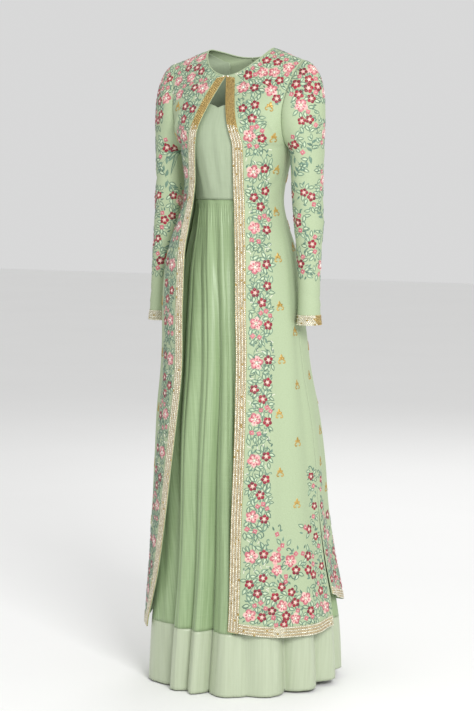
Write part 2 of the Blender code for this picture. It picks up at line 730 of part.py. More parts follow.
def build_jacket(maker):
    """The outer layer with its beaded bands."""
    neck_row = len(FRONT_SHARES) - 1 - FRONT_SHARES.index(NECK_SHARE_FRONT)
    fronts = {}
    for name, side in (("left", LEFT), ("right", RIGHT)):
        front = jacket_front_grid(side)
        fronts[side] = front
        maker.shell(f"jacket_front_{name}", mirrored(front, side), CREPE, "jacket_crepe")
        bead = lifted(front, CREPE)
        edge_band = pull_in(bead[neck_row:, :2].copy(), SEAM_GAP, 0)
        maker.shell(f"jacket_edge_band_{name}", mirrored(edge_band, side), BEADING, "gold_beading")
        hem_band = pull_in(bead[-2:, 1:].copy(), SEAM_GAP, 0)
        maker.shell(f"jacket_hem_band_{name}", mirrored(hem_band, side), BEADING, "gold_beading")
        sleeve = sleeve_grid(side)
        maker.shell(f"jacket_sleeve_{name}", mirrored(sleeve, side), CREPE, "jacket_crepe", closed=True)
        cuff = lifted(sleeve, CREPE, closed=True)[-2:]
        maker.shell(f"jacket_cuff_{name}", mirrored(cuff, side), BEADING, "gold_beading", closed=True)
    back = jacket_back_grid()
    maker.shell("jacket_back", back, CREPE, "jacket_crepe", mirror=True)
    hem_band = lifted(back, CREPE, on_plane=True)[-2:]
    maker.shell("jacket_hem_band_back", hem_band, BEADING, "gold_beading", mirror=True)
    build_neck_binding(maker, fronts[LEFT], back)


def build_neck_binding(maker, front, back):
    """A narrow cord of the jacket's cloth round the neckline, from one front edge to the other."""
    front_rows = len(FRONT_SHARES) - FRONT_SHARES.index(NECK_SHARE_FRONT)
    back_rows = len(BACK_SHARES) - BACK_SHARES.index(NECK_SHARE_BACK)
    edge, inside = [], []
    for grid, rows in ((front[: front_rows + 1], range(front_rows - 1, -1, -1)), (back, range(1, back_rows))):
        for row in rows:
            edge.append(grid[row, 0])
            across = unit(grid[row, 1] - grid[row, 0])
            inside.append(across + unit(grid[row + 1, 0] - grid[row, 0]))
    edge, inside = np.array(edge), np.array(inside)
    along = np.gradient(edge, axis=0)
    along[0] = along[-1] = (1.0, 0.0, 0.0)
    along = unit(along)
    away = -unit(inside - np.sum(inside * along, axis=1, keepdims=True) * along)
    half = edge + away * (BINDING_RADIUS + 2 * SEAM_GAP)
    half[0, 0] = BINDING_RADIUS
    half[-1, 0] = 0.0
    points = np.vstack([half, half[-2::-1] * np.array([-1.0, 1.0, 1.0])])
    maker.cord("jacket_neck_binding", points, BINDING_RADIUS, "jacket_crepe")


def main():
    """Clear the scene and build the garment."""
    for thing in list(bpy.data.objects):
        bpy.data.objects.remove(thing, do_unlink=True)
    maker = Maker("anarkali_gown_with_jacket")
    build_gown(maker)
    build_jacket(maker)
    bpy.context.view_layer.update()


main()
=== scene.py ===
"""Looks of the anarkali gown with its long open-front jacket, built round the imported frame.

Every length is in metres. The tables give heights above the gown's hem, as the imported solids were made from
them. The wearer faces -Y and the wearer's left is +X.
"""

import logging
import math
from collections.abc import Callable
from dataclasses import dataclass, field
from enum import Enum
from typing import Any

import bpy
import numpy as np
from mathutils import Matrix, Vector


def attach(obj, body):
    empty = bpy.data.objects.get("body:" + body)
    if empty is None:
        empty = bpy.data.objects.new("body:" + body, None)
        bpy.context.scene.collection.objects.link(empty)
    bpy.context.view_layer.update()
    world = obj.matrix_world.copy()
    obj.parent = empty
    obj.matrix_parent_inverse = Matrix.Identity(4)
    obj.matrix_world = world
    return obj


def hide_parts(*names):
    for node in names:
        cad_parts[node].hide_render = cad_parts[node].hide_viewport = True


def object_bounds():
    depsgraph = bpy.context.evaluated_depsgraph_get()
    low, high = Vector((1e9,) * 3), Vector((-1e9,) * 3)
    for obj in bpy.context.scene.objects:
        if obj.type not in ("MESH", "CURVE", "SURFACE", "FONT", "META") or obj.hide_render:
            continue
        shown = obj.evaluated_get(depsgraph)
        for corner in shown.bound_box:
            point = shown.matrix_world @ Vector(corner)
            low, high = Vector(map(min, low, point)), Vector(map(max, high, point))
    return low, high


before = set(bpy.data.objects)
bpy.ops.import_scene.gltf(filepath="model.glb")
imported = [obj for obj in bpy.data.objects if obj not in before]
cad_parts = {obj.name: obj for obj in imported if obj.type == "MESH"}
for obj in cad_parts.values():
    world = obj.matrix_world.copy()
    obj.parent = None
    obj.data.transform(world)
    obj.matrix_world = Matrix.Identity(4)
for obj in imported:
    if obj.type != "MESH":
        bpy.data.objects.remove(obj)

CAD_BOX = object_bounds()
LOG = logging.getLogger("gown")
Array = np.ndarray
Table = tuple[tuple[float, ...], ...]
# Turns the wearer's left into the right.
MIRROR = np.array([-1.0, 1.0, 1.0])


class Side(Enum):
    """The wearer's left and right."""

    LEFT = 1
    RIGHT = -1


class Motif(Enum):
    """The stitched motifs."""

    ROSE = "rose"
    RING_FLOWER = "ring flower"
    BLOSSOM = "blossom"
    LEAF = "leaf"
    OPEN_LEAF = "open leaf"
    CURL = "curl"
    SEED = "seed"
    BUTI = "gold buti"


class Thread(Enum):
    """What the embroidery is stitched with."""

    ROSE = "rose_silk_thread"
    BLUSH = "blush_silk_thread"
    WINE = "wine_silk_thread"
    LEAF = "sage_green_silk_thread"
    MINT = "pale_mint_silk_thread"
    PALE = "silver_white_silk_thread"
    GOLD = "antique_zari_thread"


# ---------------------------------------------------------------- plain geometry


def smooth(share: Array) -> Array:
    """Ease from 0 to 1 with no slope at either end."""
    share = np.clip(share, 0.0, 1.0)
    return share * share * (3.0 - 2.0 * share)


def hermite(t: Array, first: Array, last: Array, leave: Array, arrive: Array) -> tuple[Array, Array]:
    """Parts of a smooth curve between two places."""
    rise = (2 * t**3 - 3 * t**2 + 1) * first + (3 * t**2 - 2 * t**3) * last
    return rise, (t**3 - 2 * t**2 + t) * leave + (t**3 - t**2) * arrive


def follow(table: Any, at: Any) -> Array:
    """Read a table's columns at a place in its first column, along a smooth curve.

    Args:
        table: Rows of a place and its values.
        at: The place or places to read.

    Returns:
        The values there, one column for each of the table's.
    """
    rows = np.array(table, dtype=float)
    places, values = rows[:, 0], rows[:, 1:]
    slopes = np.gradient(values, places, axis=0)
    at = np.clip(np.asarray(at, dtype=float), places[0], places[-1])
    low = np.clip(np.searchsorted(places, at, side="right") - 1, 0, len(places) - 2)
    width = places[low + 1] - places[low]
    t = ((at - places[low]) / width)[..., None]
    rise, bend = hermite(t, values[low], values[low + 1], slopes[low], slopes[low + 1])
    return rise + bend * width[..., None]


def unit(vectors: Array) -> Array:
    """Scale vectors to length 1."""
    return vectors / np.maximum(np.linalg.norm(vectors, axis=-1, keepdims=True), 1e-12)


def row_length(row: Array) -> float:
    """Length of a row of points."""
    return float(np.linalg.norm(np.diff(row, axis=0), axis=1).sum())


def evenly(row: Array, columns: int) -> Array:
    """Points of a row, evenly spaced along it.

    Args:
        row: Densely sampled points.
        columns: How many spaces to leave between the new points.

    Returns:
        The new points, one more than the spaces.
    """
    steps = np.linalg.norm(np.diff(row, axis=0), axis=1)
    along = np.concatenate(([0.0], np.cumsum(steps)))
    distances = np.linspace(0.0, along[-1], columns + 1)
    return np.stack([np.interp(distances, along, row[:, axis]) for axis in range(3)], axis=1)


def pull_in(grid: Array, gap: float, column: int) -> Array:
    """Move an end column of a grid in along its rows, to leave half a seam's gap."""
    nearest = 1 if column == 0 else -2
    grid[:, column] += unit(grid[:, nearest] - grid[:, column]) * gap
    return grid


# ---------------------------------------------------------------- cloth


@dataclass(frozen=True)
class Crease:
    """A fold line pressed or raised in cloth: where it runs, in metres across and down, and its size."""

    start: tuple[float, float]
    end: tuple[float, float]
    width: float
    height: float

    def rise(self, across: Array, down: Array) -> Array:
        """How far the cloth rises at points.

        Args:
            across: Metres across the sheet.
            down: Metres down the sheet.

        Returns:
            The rise in metres, negative where it dips.
        """
        line = np.array(self.end) - np.array(self.start)
        length = float(np.hypot(*line))
        ahead = line / length
        x, y = across - self.start[0], down - self.start[1]
        along = x * ahead[0] + y * ahead[1]
        away = (-x * ahead[1] + y * ahead[0]) / self.width
        taper = smooth((along + 0.25 * length) / (0.5 * length)) * smooth((1.25 * length - along) / (0.5 * length))
        return self.height * np.exp(-(away**2)) * taper


def creases(rows: Table, side: float = 1.0) -> tuple[Crease, ...]:
    """Crease lines from a table."""
    return tuple(Crease((side * a, b), (side * c, d), width, height) for a, b, c, d, width, height in rows)


class Cloth:
    """A sheet of cloth: a grid of points, rows down the body and evenly spaced columns across."""

    seam_ease: float = 0.030

    def __init__(self, grid: Array, zero: float = 0.0, closed: bool = False, split: bool = False) -> None:
        """Keep the grid and measure it.

        Args:
            grid: Rows by columns of points.
            zero: Share of the way across that distances across are counted from.
            closed: True if the last column joins the first.
            split: True for two mirrored halves, whose two middle columns part at the neck.
        """
        columns = grid.shape[1]
        self.grid = grid
        self.zero = zero
        self.closed = closed
        self.split = split
        self.half = columns // 2 if split else columns
        self.spaces = columns if closed else columns - 1 - int(split)
        self.measure()

    def measure(self) -> None:
        """Measure the sheet's lengths across and down, and its outward normals."""
        around = self.grid if not self.closed else np.concatenate((self.grid, self.grid[:, :1]), axis=1)
        steps = np.linalg.norm(np.diff(around, axis=1), axis=2)
        if self.split:
            steps[:, self.half - 1] = 0.0
        self.widths = steps.sum(axis=1)
        spine = self.grid[:, round(self.zero * self.spaces)]
        self.down = np.concatenate(([0.0], np.cumsum(np.linalg.norm(np.diff(spine, axis=0), axis=1))))
        self.normals = self.grid_normals()

    def sewn(self) -> Array:
        """Which rows of a split sheet are whole at the centre."""
        return np.linalg.norm(self.grid[:, self.half] - self.grid[:, self.half - 1], axis=1) < 1e-5

    def grid_normals(self) -> Array:
        """Outward normals of the grid.

        Returns:
            A unit vector for each point.
        """
        if self.closed:
            across = np.roll(self.grid, -1, axis=1) - np.roll(self.grid, 1, axis=1)
        else:
            parts = np.split(self.grid, 2, axis=1) if self.split else [self.grid]
            across = np.concatenate([np.gradient(part, axis=1) for part in parts], axis=1)
        normals = unit(np.cross(np.gradient(self.grid, axis=0), across))
        if self.split:
            centre = unit(normals[:, self.half - 1] + normals[:, self.half])
            for column in (self.half - 1, self.half):
                normals[self.sewn(), column] = centre[self.sewn()]
        middle = self.grid.mean(axis=1, keepdims=True)
        away = np.sum(normals * (self.grid - middle) * np.array([1.0, 1.0, 0.0]), axis=-1)
        return -normals if (away < 0.0).mean() > 0.5 else normals

    def coordinates(self) -> tuple[Array, Array]:
        """Distances across and down of each grid point.

        Returns:
            Two arrays of the grid's shape.
        """
        columns = np.arange(self.grid.shape[1])
        share = (columns - (columns >= self.half)) / self.spaces - self.zero
        return self.widths[:, None] * share[None, :], np.repeat(self.down[:, None], len(columns), axis=1)

    def faces(self) -> tuple[Array, Array]:
        """Faces between the grid's points, with split halves sewn together below the neck.

        Returns:
            Four corner numbers for each face, and the grid points that they number.
        """
        rows, columns = self.grid.shape[:2]
        faces = grid_faces(rows, columns, self.closed)
        if not self.split:
            return faces, np.arange(rows * columns)
        faces = faces[faces[:, 0] % columns != self.half - 1]
        number = np.arange(rows * columns).reshape(rows, columns)
        number[self.sewn(), self.half] = number[self.sewn(), self.half - 1]
        kept, found = np.unique(number.ravel()[faces], return_inverse=True)
        return found.reshape(-1, 4), kept

    def holds(self, at: tuple[float, float], reach: float) -> bool:
        """Whether a round place lies wholly on the sheet.

        Args:
            at: Its middle, in metres across and down.
            reach: Its radius.

        Returns:
            True if it does.
        """
        turn = np.arange(8) * np.pi / 4
        around = np.stack([np.cos(turn), np.sin(turn)], axis=1) * reach @ self.flatten(*at).T + np.array(at)
        share = around[:, 0] / np.interp(around[:, 1], self.down, self.widths) + self.zero
        on_length = around[:, 1].min() > 0.0 and around[:, 1].max() < self.down[-1]
        on_width = self.closed or (share.min() > 0.0 and share.max() < 1.0)
        if self.split and at[1] - reach < self.down[int(np.argmax(self.sewn()))] + 0.004:
            on_width = on_width and abs(at[0]) > reach and (np.sign(around[:, 0]) == np.sign(at[0])).all()
        return bool(on_length and on_width)

    def crease(self, creases: tuple[Crease, ...]) -> "Cloth":
        """Fold the sheet along creases.

        Args:
            creases: The fold lines.

        Returns:
            The sheet itself.
        """
        across, down = self.coordinates()
        rise = sum((crease.rise(across, down) for crease in creases), np.zeros(across.shape))
        if not self.closed:
            from_first = across + self.zero * self.widths[:, None]
            rise = rise * smooth(np.minimum(from_first, self.widths[:, None] - from_first) / self.seam_ease)
        return self.lift(rise)

    def lift(self, rise: Array) -> "Cloth":
        """Move each point out along its normal."""
        self.grid = self.grid + self.normals * rise[..., None]
        self.measure()
        return self

    def parted(self, places: Array) -> bool:
        """Whether places across and down lie on both sides of a split sheet's neck opening."""
        if not self.split:
            return False
        whole_from = self.down[int(np.argmax(self.sewn()))] + 0.001
        return bool(places[:, 1].min() < whole_from and places[:, 0].min() < 0.0 < places[:, 0].max())

    def place(self, across: Array, down: Array, height: Any = 0.0) -> Array:
        """Points on or over the sheet.

        Args:
            across: Metres across from the sheet's zero line.
            down: Metres down.
            height: Metres out from the sheet's middle.

        Returns:
            The points in space.
        """
        rows, columns = self.grid.shape[:2]
        row = np.clip(np.interp(down, self.down, np.arange(rows)), 0.0, rows - 1.0001)
        low_row = row.astype(int)
        part_row = (row - low_row)[..., None]
        width = self.widths[low_row] * (1 - part_row[..., 0]) + self.widths[low_row + 1] * part_row[..., 0]
        column = (across / width + self.zero) * self.spaces
        if self.closed:
            column = np.mod(column, columns)
        else:
            column = np.clip(column, 0.0, self.spaces - 0.0001)
            column = column + (column >= self.half - 1)
        low = column.astype(int) % columns
        high = (low + 1) % columns
        part = (column - np.floor(column))[..., None]

        def read(values: Array) -> Array:
            """Values at the places, blended from the four points round each."""
            above = values[low_row, low] * (1 - part) + values[low_row, high] * part
            below = values[low_row + 1, low] * (1 - part) + values[low_row + 1, high] * part
            return above * (1 - part_row) + below * part_row

        return read(self.grid) + unit(read(self.normals)) * np.asarray(height)[..., None]

    def flatten(self, across: float, down: float) -> Array:
        """How a true length at a place is counted in the sheet's own distances.

        Args:
            across: Metres across.
            down: Metres down.

        Returns:
            A matrix that turns true offsets into offsets across and down.
        """
        step = 0.004
        places = np.array([[across, down], [across + step, down], [across, down + step], [across, down - step]])
        points = self.place(places[:, 0], places[:, 1])
        side = (points[1] - points[0]) / step
        fall = (points[2] - points[3]) / (2 * step)
        right = unit(side)
        below = unit(fall - right * np.dot(fall, right))
        stretch_down = max(float(np.dot(fall, below)), 0.2)
        stretch_across = max(float(np.dot(side, right)), 0.2)
        slant = float(np.dot(fall, right))
        return np.array(
            [[1.0 / stretch_across, -slant / (stretch_across * stretch_down)], [0.0, 1.0 / stretch_down]]
        )

    def flat_size(self) -> tuple[float, float, float]:
        """The size that the sheet was cut to.

        Returns:
            Its greatest width, its greatest length and its area.
        """
        across = np.linalg.norm(np.diff(self.grid, axis=0), axis=2).sum(axis=0).max()
        a, b = self.grid[:-1, :-1], self.grid[1:, 1:]
        c, d = self.grid[1:, :-1], self.grid[:-1, 1:]
        cells = np.linalg.norm(np.cross(b - a, d - c), axis=2)
        if self.split:
            cells[:, self.half - 1] = 0.0
        area = float(cells.sum()) / 2
        if self.closed:
            area *= self.grid.shape[1] / (self.grid.shape[1] - 1)
        return float(self.widths.max()), float(across), area


def mesh_object(name: str, points: Array, faces: Any, material: bpy.types.Material) -> bpy.types.Object:
    """Make a smooth mesh object.

    Args:
        name: The piece's name.
        points: Vertices in heights above the hem.
        faces: Corner numbers, an array with a row for each face or a list of lists.
        material: What it is made of.

    Returns:
        The object, linked to the scene.
    """
    mesh = bpy.data.meshes.new(name)
    points = points - np.array([0.0, 0.0, FORM.shoulder_height])
    mesh.from_pydata(points.tolist(), [], faces if isinstance(faces, list) else faces.tolist())
    mesh.shade_smooth()
    mesh.materials.append(material)
    piece = bpy.data.objects.new(name, mesh)
    bpy.context.scene.collection.objects.link(piece)
    return piece


def thicken(piece: bpy.types.Object, name: str, wall: float) -> None:
    """Give a sheet its thickness, half of it to each side.

    Args:
        piece: The sheet's object.
        name: What to call the wall.
        wall: How thick it is.
    """
    thickness = piece.modifiers.new(name, "SOLIDIFY")
    thickness.thickness = wall
    thickness.offset = 0.0


def keep_threads(piece: bpy.types.Object, threads: Array, tones: Array | None = None) -> None:
    """Keep each point's place in the weave or stitch, for the material to read.

    Args:
        piece: The object.
        threads: Metres across and along the threads, for each vertex.
        tones: A shade from 0 to 1 for each vertex.
    """
    places = np.zeros((len(threads), 3), dtype=np.float32)
    places[:, :2] = threads
    if tones is not None:
        places[:, 2] = tones
    kept = piece.data.attributes.new("thread", "FLOAT_VECTOR", "POINT")
    kept.data.foreach_set("vector", places.ravel())


def grid_faces(rows: int, columns: int, closed: bool) -> Array:
    """Faces of a grid.

    Args:
        rows: Rows of points.
        columns: Columns of points.
        closed: True if the last column joins the first.

    Returns:
        Four corner numbers for each face.
    """
    row = np.arange(rows - 1)[:, None] * columns
    column = np.arange(columns if closed else columns - 1)[None, :]
    after = (column + 1) % columns
    corners = [row + column, row + columns + column, row + columns + after, row + after]
    return np.stack([np.broadcast_to(c, (rows - 1, column.shape[1])) for c in corners], axis=-1).reshape(-1, 4)


class Pieces:
    def __init__(self) -> None:
        """Start with nothing made."""
        self.made: list[bpy.types.Object] = []

    def add(self, piece: bpy.types.Object, slot: str, *nodes: str) -> bpy.types.Object:
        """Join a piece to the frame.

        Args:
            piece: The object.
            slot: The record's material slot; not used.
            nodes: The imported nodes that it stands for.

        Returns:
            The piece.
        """
        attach(piece, "root")
        if nodes:
            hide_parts(*nodes)
        self.made.append(piece)
        LOG.info("%s: %d faces", piece.name, len(piece.data.polygons))
        return piece

    def triangles(self) -> int:
        """How many triangles the pieces have, with their walls."""
        graph = bpy.context.evaluated_depsgraph_get()
        total = 0
        for piece in self.made:
            shape = piece.evaluated_get(graph)
            mesh = shape.to_mesh()
            total += len(mesh.loops) - 2 * len(mesh.polygons)
            shape.to_mesh_clear()
        return total

    def sheet(
        self, name: str, cloth: Cloth, wall: float, material: bpy.types.Material, slot: str, held: str
    ) -> bpy.types.Object:
        """Args:
            name: The piece's name; it replaces the node of the same name without its ending.
            cloth: The sheet.
            wall: The thickness of the cloth.
            material: Its finish.
            slot: The record's material slot.
            held: How the cloth is held; not used.

        Returns:
            The piece.
        """
        faces, kept = cloth.faces()
        piece = mesh_object(name, cloth.grid.reshape(-1, 3)[kept], faces, material)
        across, down = cloth.coordinates()
        keep_threads(piece, np.stack([across.ravel(), down.ravel()], axis=1)[kept])
        thicken(piece, "cloth wall", wall)
        width, length, area = cloth.flat_size()
        return self.add(piece, slot, name.removesuffix("_cloth"))


# ---------------------------------------------------------------- the worn form


@dataclass(frozen=True)
class WornForm:
    """The form that both layers follow, as worn."""

    shoulder_height: float = 1.360
    underarm: float = 1.180
    seam_gap: float = 0.0003
    shoulder_gap: float = 0.0005
    neck_share_front: float = 0.60
    neck_share_back: float = 0.78
    ring_blend: float = 0.40
    centre_pull: float = 0.36
    side_pull: float = 0.34
    shoulder_slope: float = 0.30
    side_slope: float = 0.28
    underarm_turn: float = 0.25
    row_samples: int = 161
    jacket_rings: Table = (
        (0.050, 0.231, 0.221, 0.030), (0.135, 0.226, 0.216, 0.030), (0.190, 0.220, 0.210, 0.028),
        (0.270, 0.208, 0.200, 0.020), (0.390, 0.196, 0.188, 0.010), (0.483, 0.190, 0.182, 0.008),
        (0.598, 0.178, 0.168, 0.003), (0.687, 0.162, 0.152, 0.000), (0.780, 0.150, 0.140, 0.000),
        (0.860, 0.142, 0.126, 0.000), (0.907, 0.137, 0.118, 0.000), (0.968, 0.126, 0.106, 0.000),
        (1.010, 0.113, 0.095, -0.001), (1.057, 0.1035, 0.0865, -0.002), (1.095, 0.107, 0.091, -0.004),
        (1.137, 0.118, 0.100, -0.006), (1.180, 0.127, 0.108, -0.008),
    )
    gown_rings: Table = (
        (0.000, 0.219, 0.216, 0.025), (0.135, 0.2125, 0.2050, 0.025), (0.190, 0.206, 0.198, 0.022),
        (0.270, 0.198, 0.190, 0.018), (0.390, 0.187, 0.179, 0.010), (0.483, 0.181, 0.173, 0.008),
        (0.598, 0.169, 0.159, 0.003), (0.687, 0.154, 0.144, 0.000), (0.780, 0.142, 0.132, 0.000),
        (0.860, 0.133, 0.117, 0.000), (0.907, 0.127, 0.109, 0.000), (0.968, 0.115, 0.096, 0.000),
        (1.010, 0.104, 0.087, -0.001), (1.057, 0.0965, 0.0795, -0.002), (1.095, 0.100, 0.084, -0.004),
        (1.137, 0.110, 0.092, -0.006), (1.180, 0.119, 0.100, -0.008),
    )
    front_centre: Table = (
        (0.0, -0.116, 1.180), (0.20, -0.1135, 1.228), (0.40, -0.088, 1.279), (0.60, -0.0555, 1.3295),
    )
    back_centre: Table = ((0.0, 0.100, 1.180), (0.26, 0.104, 1.245), (0.52, 0.093, 1.310), (0.78, 0.062, 1.372))
    neck_edge: Table = (
        (-0.20, -0.020, -0.0530, 1.3330), (0.00, 0.000, -0.0555, 1.3295), (0.20, 0.020, -0.0530, 1.3330),
        (0.42, 0.039, -0.0480, 1.3420), (0.72, 0.063, -0.0290, 1.3620), (1.00, 0.081, 0.0060, 1.3880),
        (1.30, 0.070, 0.0380, 1.3860), (1.65, 0.034, 0.0580, 1.3750), (2.00, 0.000, 0.0620, 1.3720),
        (2.35, -0.034, 0.0580, 1.3750),
    )
    armhole: Table = (
        (-1.28, 0.148, -0.030, 1.3260), (-1.00, 0.160, 0.003, 1.3620), (-0.72, 0.150, 0.036, 1.3260),
        (-0.38, 0.141, 0.048, 1.2500), (-0.15, 0.135, 0.026, 1.1960), (0.00, 0.127, -0.008, 1.1800),
        (0.15, 0.130, -0.036, 1.1960), (0.38, 0.135, -0.053, 1.2500), (0.72, 0.148, -0.030, 1.3260),
        (1.00, 0.160, 0.003, 1.3620), (1.28, 0.150, 0.036, 1.3260),
    )

    def ring(self, rings: Table, degrees: Any, height: Any, off: Any = 0.0) -> Array:
        """Points on a ring table.

        Args:
            rings: Height, half width, half depth and centre of each ring.
            degrees: Angles from the centre front.
            height: Heights above the hem.
            off: How far out from the ring.

        Returns:
            The points.
        """
        degrees, height = np.broadcast_arrays(degrees, height)
        sizes = follow(rings, height)
        turn = np.radians(degrees)
        x = (sizes[..., 0] + off) * np.sin(turn)
        y = sizes[..., 2] - (sizes[..., 1] + off) * np.cos(turn)
        return np.stack([x, y, height], axis=-1)

    def upper_edges(self, share: float, front: bool) -> tuple[Array, Array]:
        """Centre and armhole ends of one row above the underarm, on the wearer's left.

        Args:
            share: Share of the way from the underarm to the shoulder.
            front: True for the front.

        Returns:
            The row's two end points.
        """
        neck_share = self.neck_share_front if front else self.neck_share_back
        if share <= neck_share:
            y, height = follow(self.front_centre if front else self.back_centre, share)
            centre = np.array([0.0, y, height])
        else:
            turn = (share - neck_share) / (1.0 - neck_share)
            centre = follow(self.neck_edge, turn if front else 2.0 - turn)
        return centre, follow(self.armhole, share if front else -share)

    def upper_row(self, across: Array, share: float, front: bool) -> Array:
        """The plain curve of one row, from the centre or neckline to the armhole.

        Args:
            across: Shares of the way across.
            share: Share of the way up from the underarm.
            front: True for the front.

        Returns:
            The points of the row.
        """
        centre, side = self.upper_edges(share, front)
        forward = -1.0 if front else 1.0
        span = np.linalg.norm(side - centre)
        ease = float(smooth(share))
        from_centre = unit(np.array([1.0, 0.0, -self.shoulder_slope * ease]))
        round_the_side = np.array([self.underarm_turn, -forward, 0.0])
        down_the_arm = np.array([1.0, 0.0, -self.side_slope])
        into_side = unit((1 - ease) * round_the_side + ease * down_the_arm)
        first = centre + from_centre * self.centre_pull * span
        second = side - into_side * self.side_pull * span
        u = across[:, None]
        return (1 - u) ** 3 * centre + 3 * (1 - u) ** 2 * u * first + 3 * (1 - u) * u**2 * second + u**3 * side

    def upper_body(self, across: Array, share: float, front: bool) -> Array:
        """Points of the jacket's middle surface above the underarm.

        Args:
            across: Shares of the way across.
            share: Share of the way up from the underarm.
            front: True for the front.

        Returns:
            The points of the row.
        """
        angles = across * 90.0 if front else 180.0 - across * 90.0
        base = self.ring(self.jacket_rings, angles, self.underarm) - self.upper_row(across, 0.0, front)
        return self.upper_row(across, share, front) + base * (1 - smooth(share / self.ring_blend))

    def upper_rows(self, shares: Array, front: bool) -> list[Array]:
        """Dense rows of the jacket above the underarm, the last at the shoulder seam.

        Args:
            shares: Shares of the way up.
            front: True for the front.

        Returns:
            The rows.
        """
        across = np.linspace(0.0, 1.0, self.row_samples)
        rows = [self.upper_body(across, float(share), front) for share in shares]
        rows[-1] = rows[-1] + np.array([0.0, (-0.5 if front else 0.5) * self.shoulder_gap, 0.0])
        return rows


FORM = WornForm()


# ---------------------------------------------------------------- the gown


@dataclass
class Gown:
    """The inner layer: bodice, folded skirt and satin hem band."""

    pieces: Pieces
    silk: bpy.types.Material
    # The skirt's silk with its colour painted paler for the bodice: painted light.
    smooth_silk: bpy.types.Material
    satin: bpy.types.Material
    wall: float = 0.0014
    waist: float = 1.064
    waist_gap: float = 0.0006
    band_seam: float = 0.135
    inset: float = 0.0080
    strap_inset: float = 0.0021
    strap_drop: float = 0.0021
    inset_fade: float = 0.80
    normal_step: float = 0.004
    valley_reach: float = 0.55
    gather_depth: float = 0.0022
    gather_fade: float = 0.16
    gathers: float = 4.0
    # Small pleats below the waist seam.
    pleat_depth: float = 0.0011
    pleat_fade: float = 0.075
    pleats: float = 12.0
    # Sharp crimps between the folds, which waver on their way down.
    crimp_depth: float = 0.0048
    crimp_shift: float = 0.31
    crimp_edge: float = 2.2
    crimp_fade: float = 1.15
    crimp_swell: float = 0.6
    swing: float = 0.16
    swing_rate: float = 4.2
    swing_shift: float = 1.7
    left_seam_fold: int = 5
    right_seam_fold: int = 14
    columns_a_fold: int = 24
    row_step: float = 0.0090
    bodice_columns: int = 36
    band_rows: int = 22
    valley_heights: tuple[float, ...] = (0.0, 0.45, 0.77, 1.064)
    valleys: Table = (
        (-52.0, -34.0, -24.0, -25.0, 0.028), (-31.0, -9.5, -5.5, -9.5, 0.024), (-9.0, 9.0, 9.0, 4.0, 0.038),
        (9.0, 22.0, 25.0, 31.0, 0.017), (34.0, 42.0, 52.0, 57.5, 0.036), (62.0, 68.0, 78.0, 84.5, 0.030),
        (90.0, 97.0, 104.0, 107.0, 0.028), (112.0, 120.0, 126.0, 128.0, 0.032),
        (134.0, 141.0, 147.0, 149.0, 0.026), (156.0, 162.0, 167.0, 169.0, 0.032),
        (178.0, 183.0, 187.0, 189.0, 0.028), (200.0, 203.0, 206.0, 207.0, 0.032),
        (220.0, 224.0, 227.0, 227.0, 0.026), (242.0, 245.0, 247.0, 247.0, 0.032),
        (263.0, 266.0, 268.0, 268.0, 0.030), (283.0, 288.0, 290.0, 290.0, 0.032),
    )
    fold_growth: Table = (
        (0.000, 1.00), (0.200, 0.92), (0.450, 0.74), (0.600, 0.60), (0.770, 0.44), (0.900, 0.30), (1.000, 0.16),
        (1.064, 0.05),
    )
    hem_lift: Table = (
        (-90.0, 0.006), (-40.0, 0.001), (0.0, 0.000), (60.0, 0.002), (85.0, 0.008), (115.0, 0.018),
        (180.0, 0.014), (270.0, 0.006), (330.0, 0.000),
    )
    # Across and height above the waist of a line's start and end, its width and its height.
    drag_lines: Table = (
        (-0.045, 0.012, 0.010, 0.030, 0.005, -0.0007), (0.050, 0.016, -0.006, 0.036, 0.005, -0.0007),
        (-0.058, 0.150, -0.044, 0.015, 0.007, 0.0014), (-0.028, 0.120, -0.020, 0.020, 0.008, 0.0015),
        (-0.006, 0.165, -0.002, 0.040, 0.006, -0.0013), (0.012, 0.130, 0.009, 0.015, 0.006, 0.0012),
        (0.034, 0.140, 0.024, 0.020, 0.008, 0.0015), (0.062, 0.140, 0.048, 0.020, 0.007, -0.0013),
    )
    # Share of the way up, and the shares across where the neckline and the armhole cut the row.
    bodice_front_edges: Table = (
        (0.000, 0.000, 1.000), (0.345, 0.000, 0.900), (0.440, 0.330, 0.850), (0.560, 0.420, 0.790),
        (0.700, 0.350, 0.720), (0.840, 0.220, 0.640), (1.000, 0.100, 0.600),
    )
    bodice_back_edges: Table = (
        (0.000, 0.000, 1.000), (0.345, 0.000, 0.920), (0.440, 0.240, 0.870), (0.560, 0.380, 0.810),
        (0.700, 0.380, 0.730), (0.840, 0.270, 0.650), (1.000, 0.100, 0.600),
    )

    def bodice_row(self, share: float, front: bool) -> Array:
        """A dense row of the bodice above the underarm, inside the jacket's surface.

        Args:
            share: Share of the way up from the underarm.
            front: True for the front.

        Returns:
            The points of the row.
        """
        neck, armhole = follow(self.bodice_front_edges if front else self.bodice_back_edges, share)
        across = np.linspace(max(float(neck), 0.0), min(float(armhole), 1.0), FORM.row_samples)
        if share >= 1.0:
            return FORM.upper_body(across, share, front) - np.array([0.0, 0.0, self.strap_drop])
        low, high = max(share - self.normal_step, 0.0), min(share + self.normal_step, 1.0)
        up = FORM.upper_body(across, high, front) - FORM.upper_body(across, low, front)
        middle = FORM.upper_body(across, share, front)
        outward = unit(np.cross(np.gradient(middle, axis=0), up))
        outward = outward if front else -outward
        if neck <= 0.0:
            outward[0, 0] = 0.0
        fade = smooth((share - self.inset_fade) / (1.0 - self.inset_fade))
        inset = self.inset + (self.strap_inset - self.inset) * fade
        return middle - unit(outward) * inset

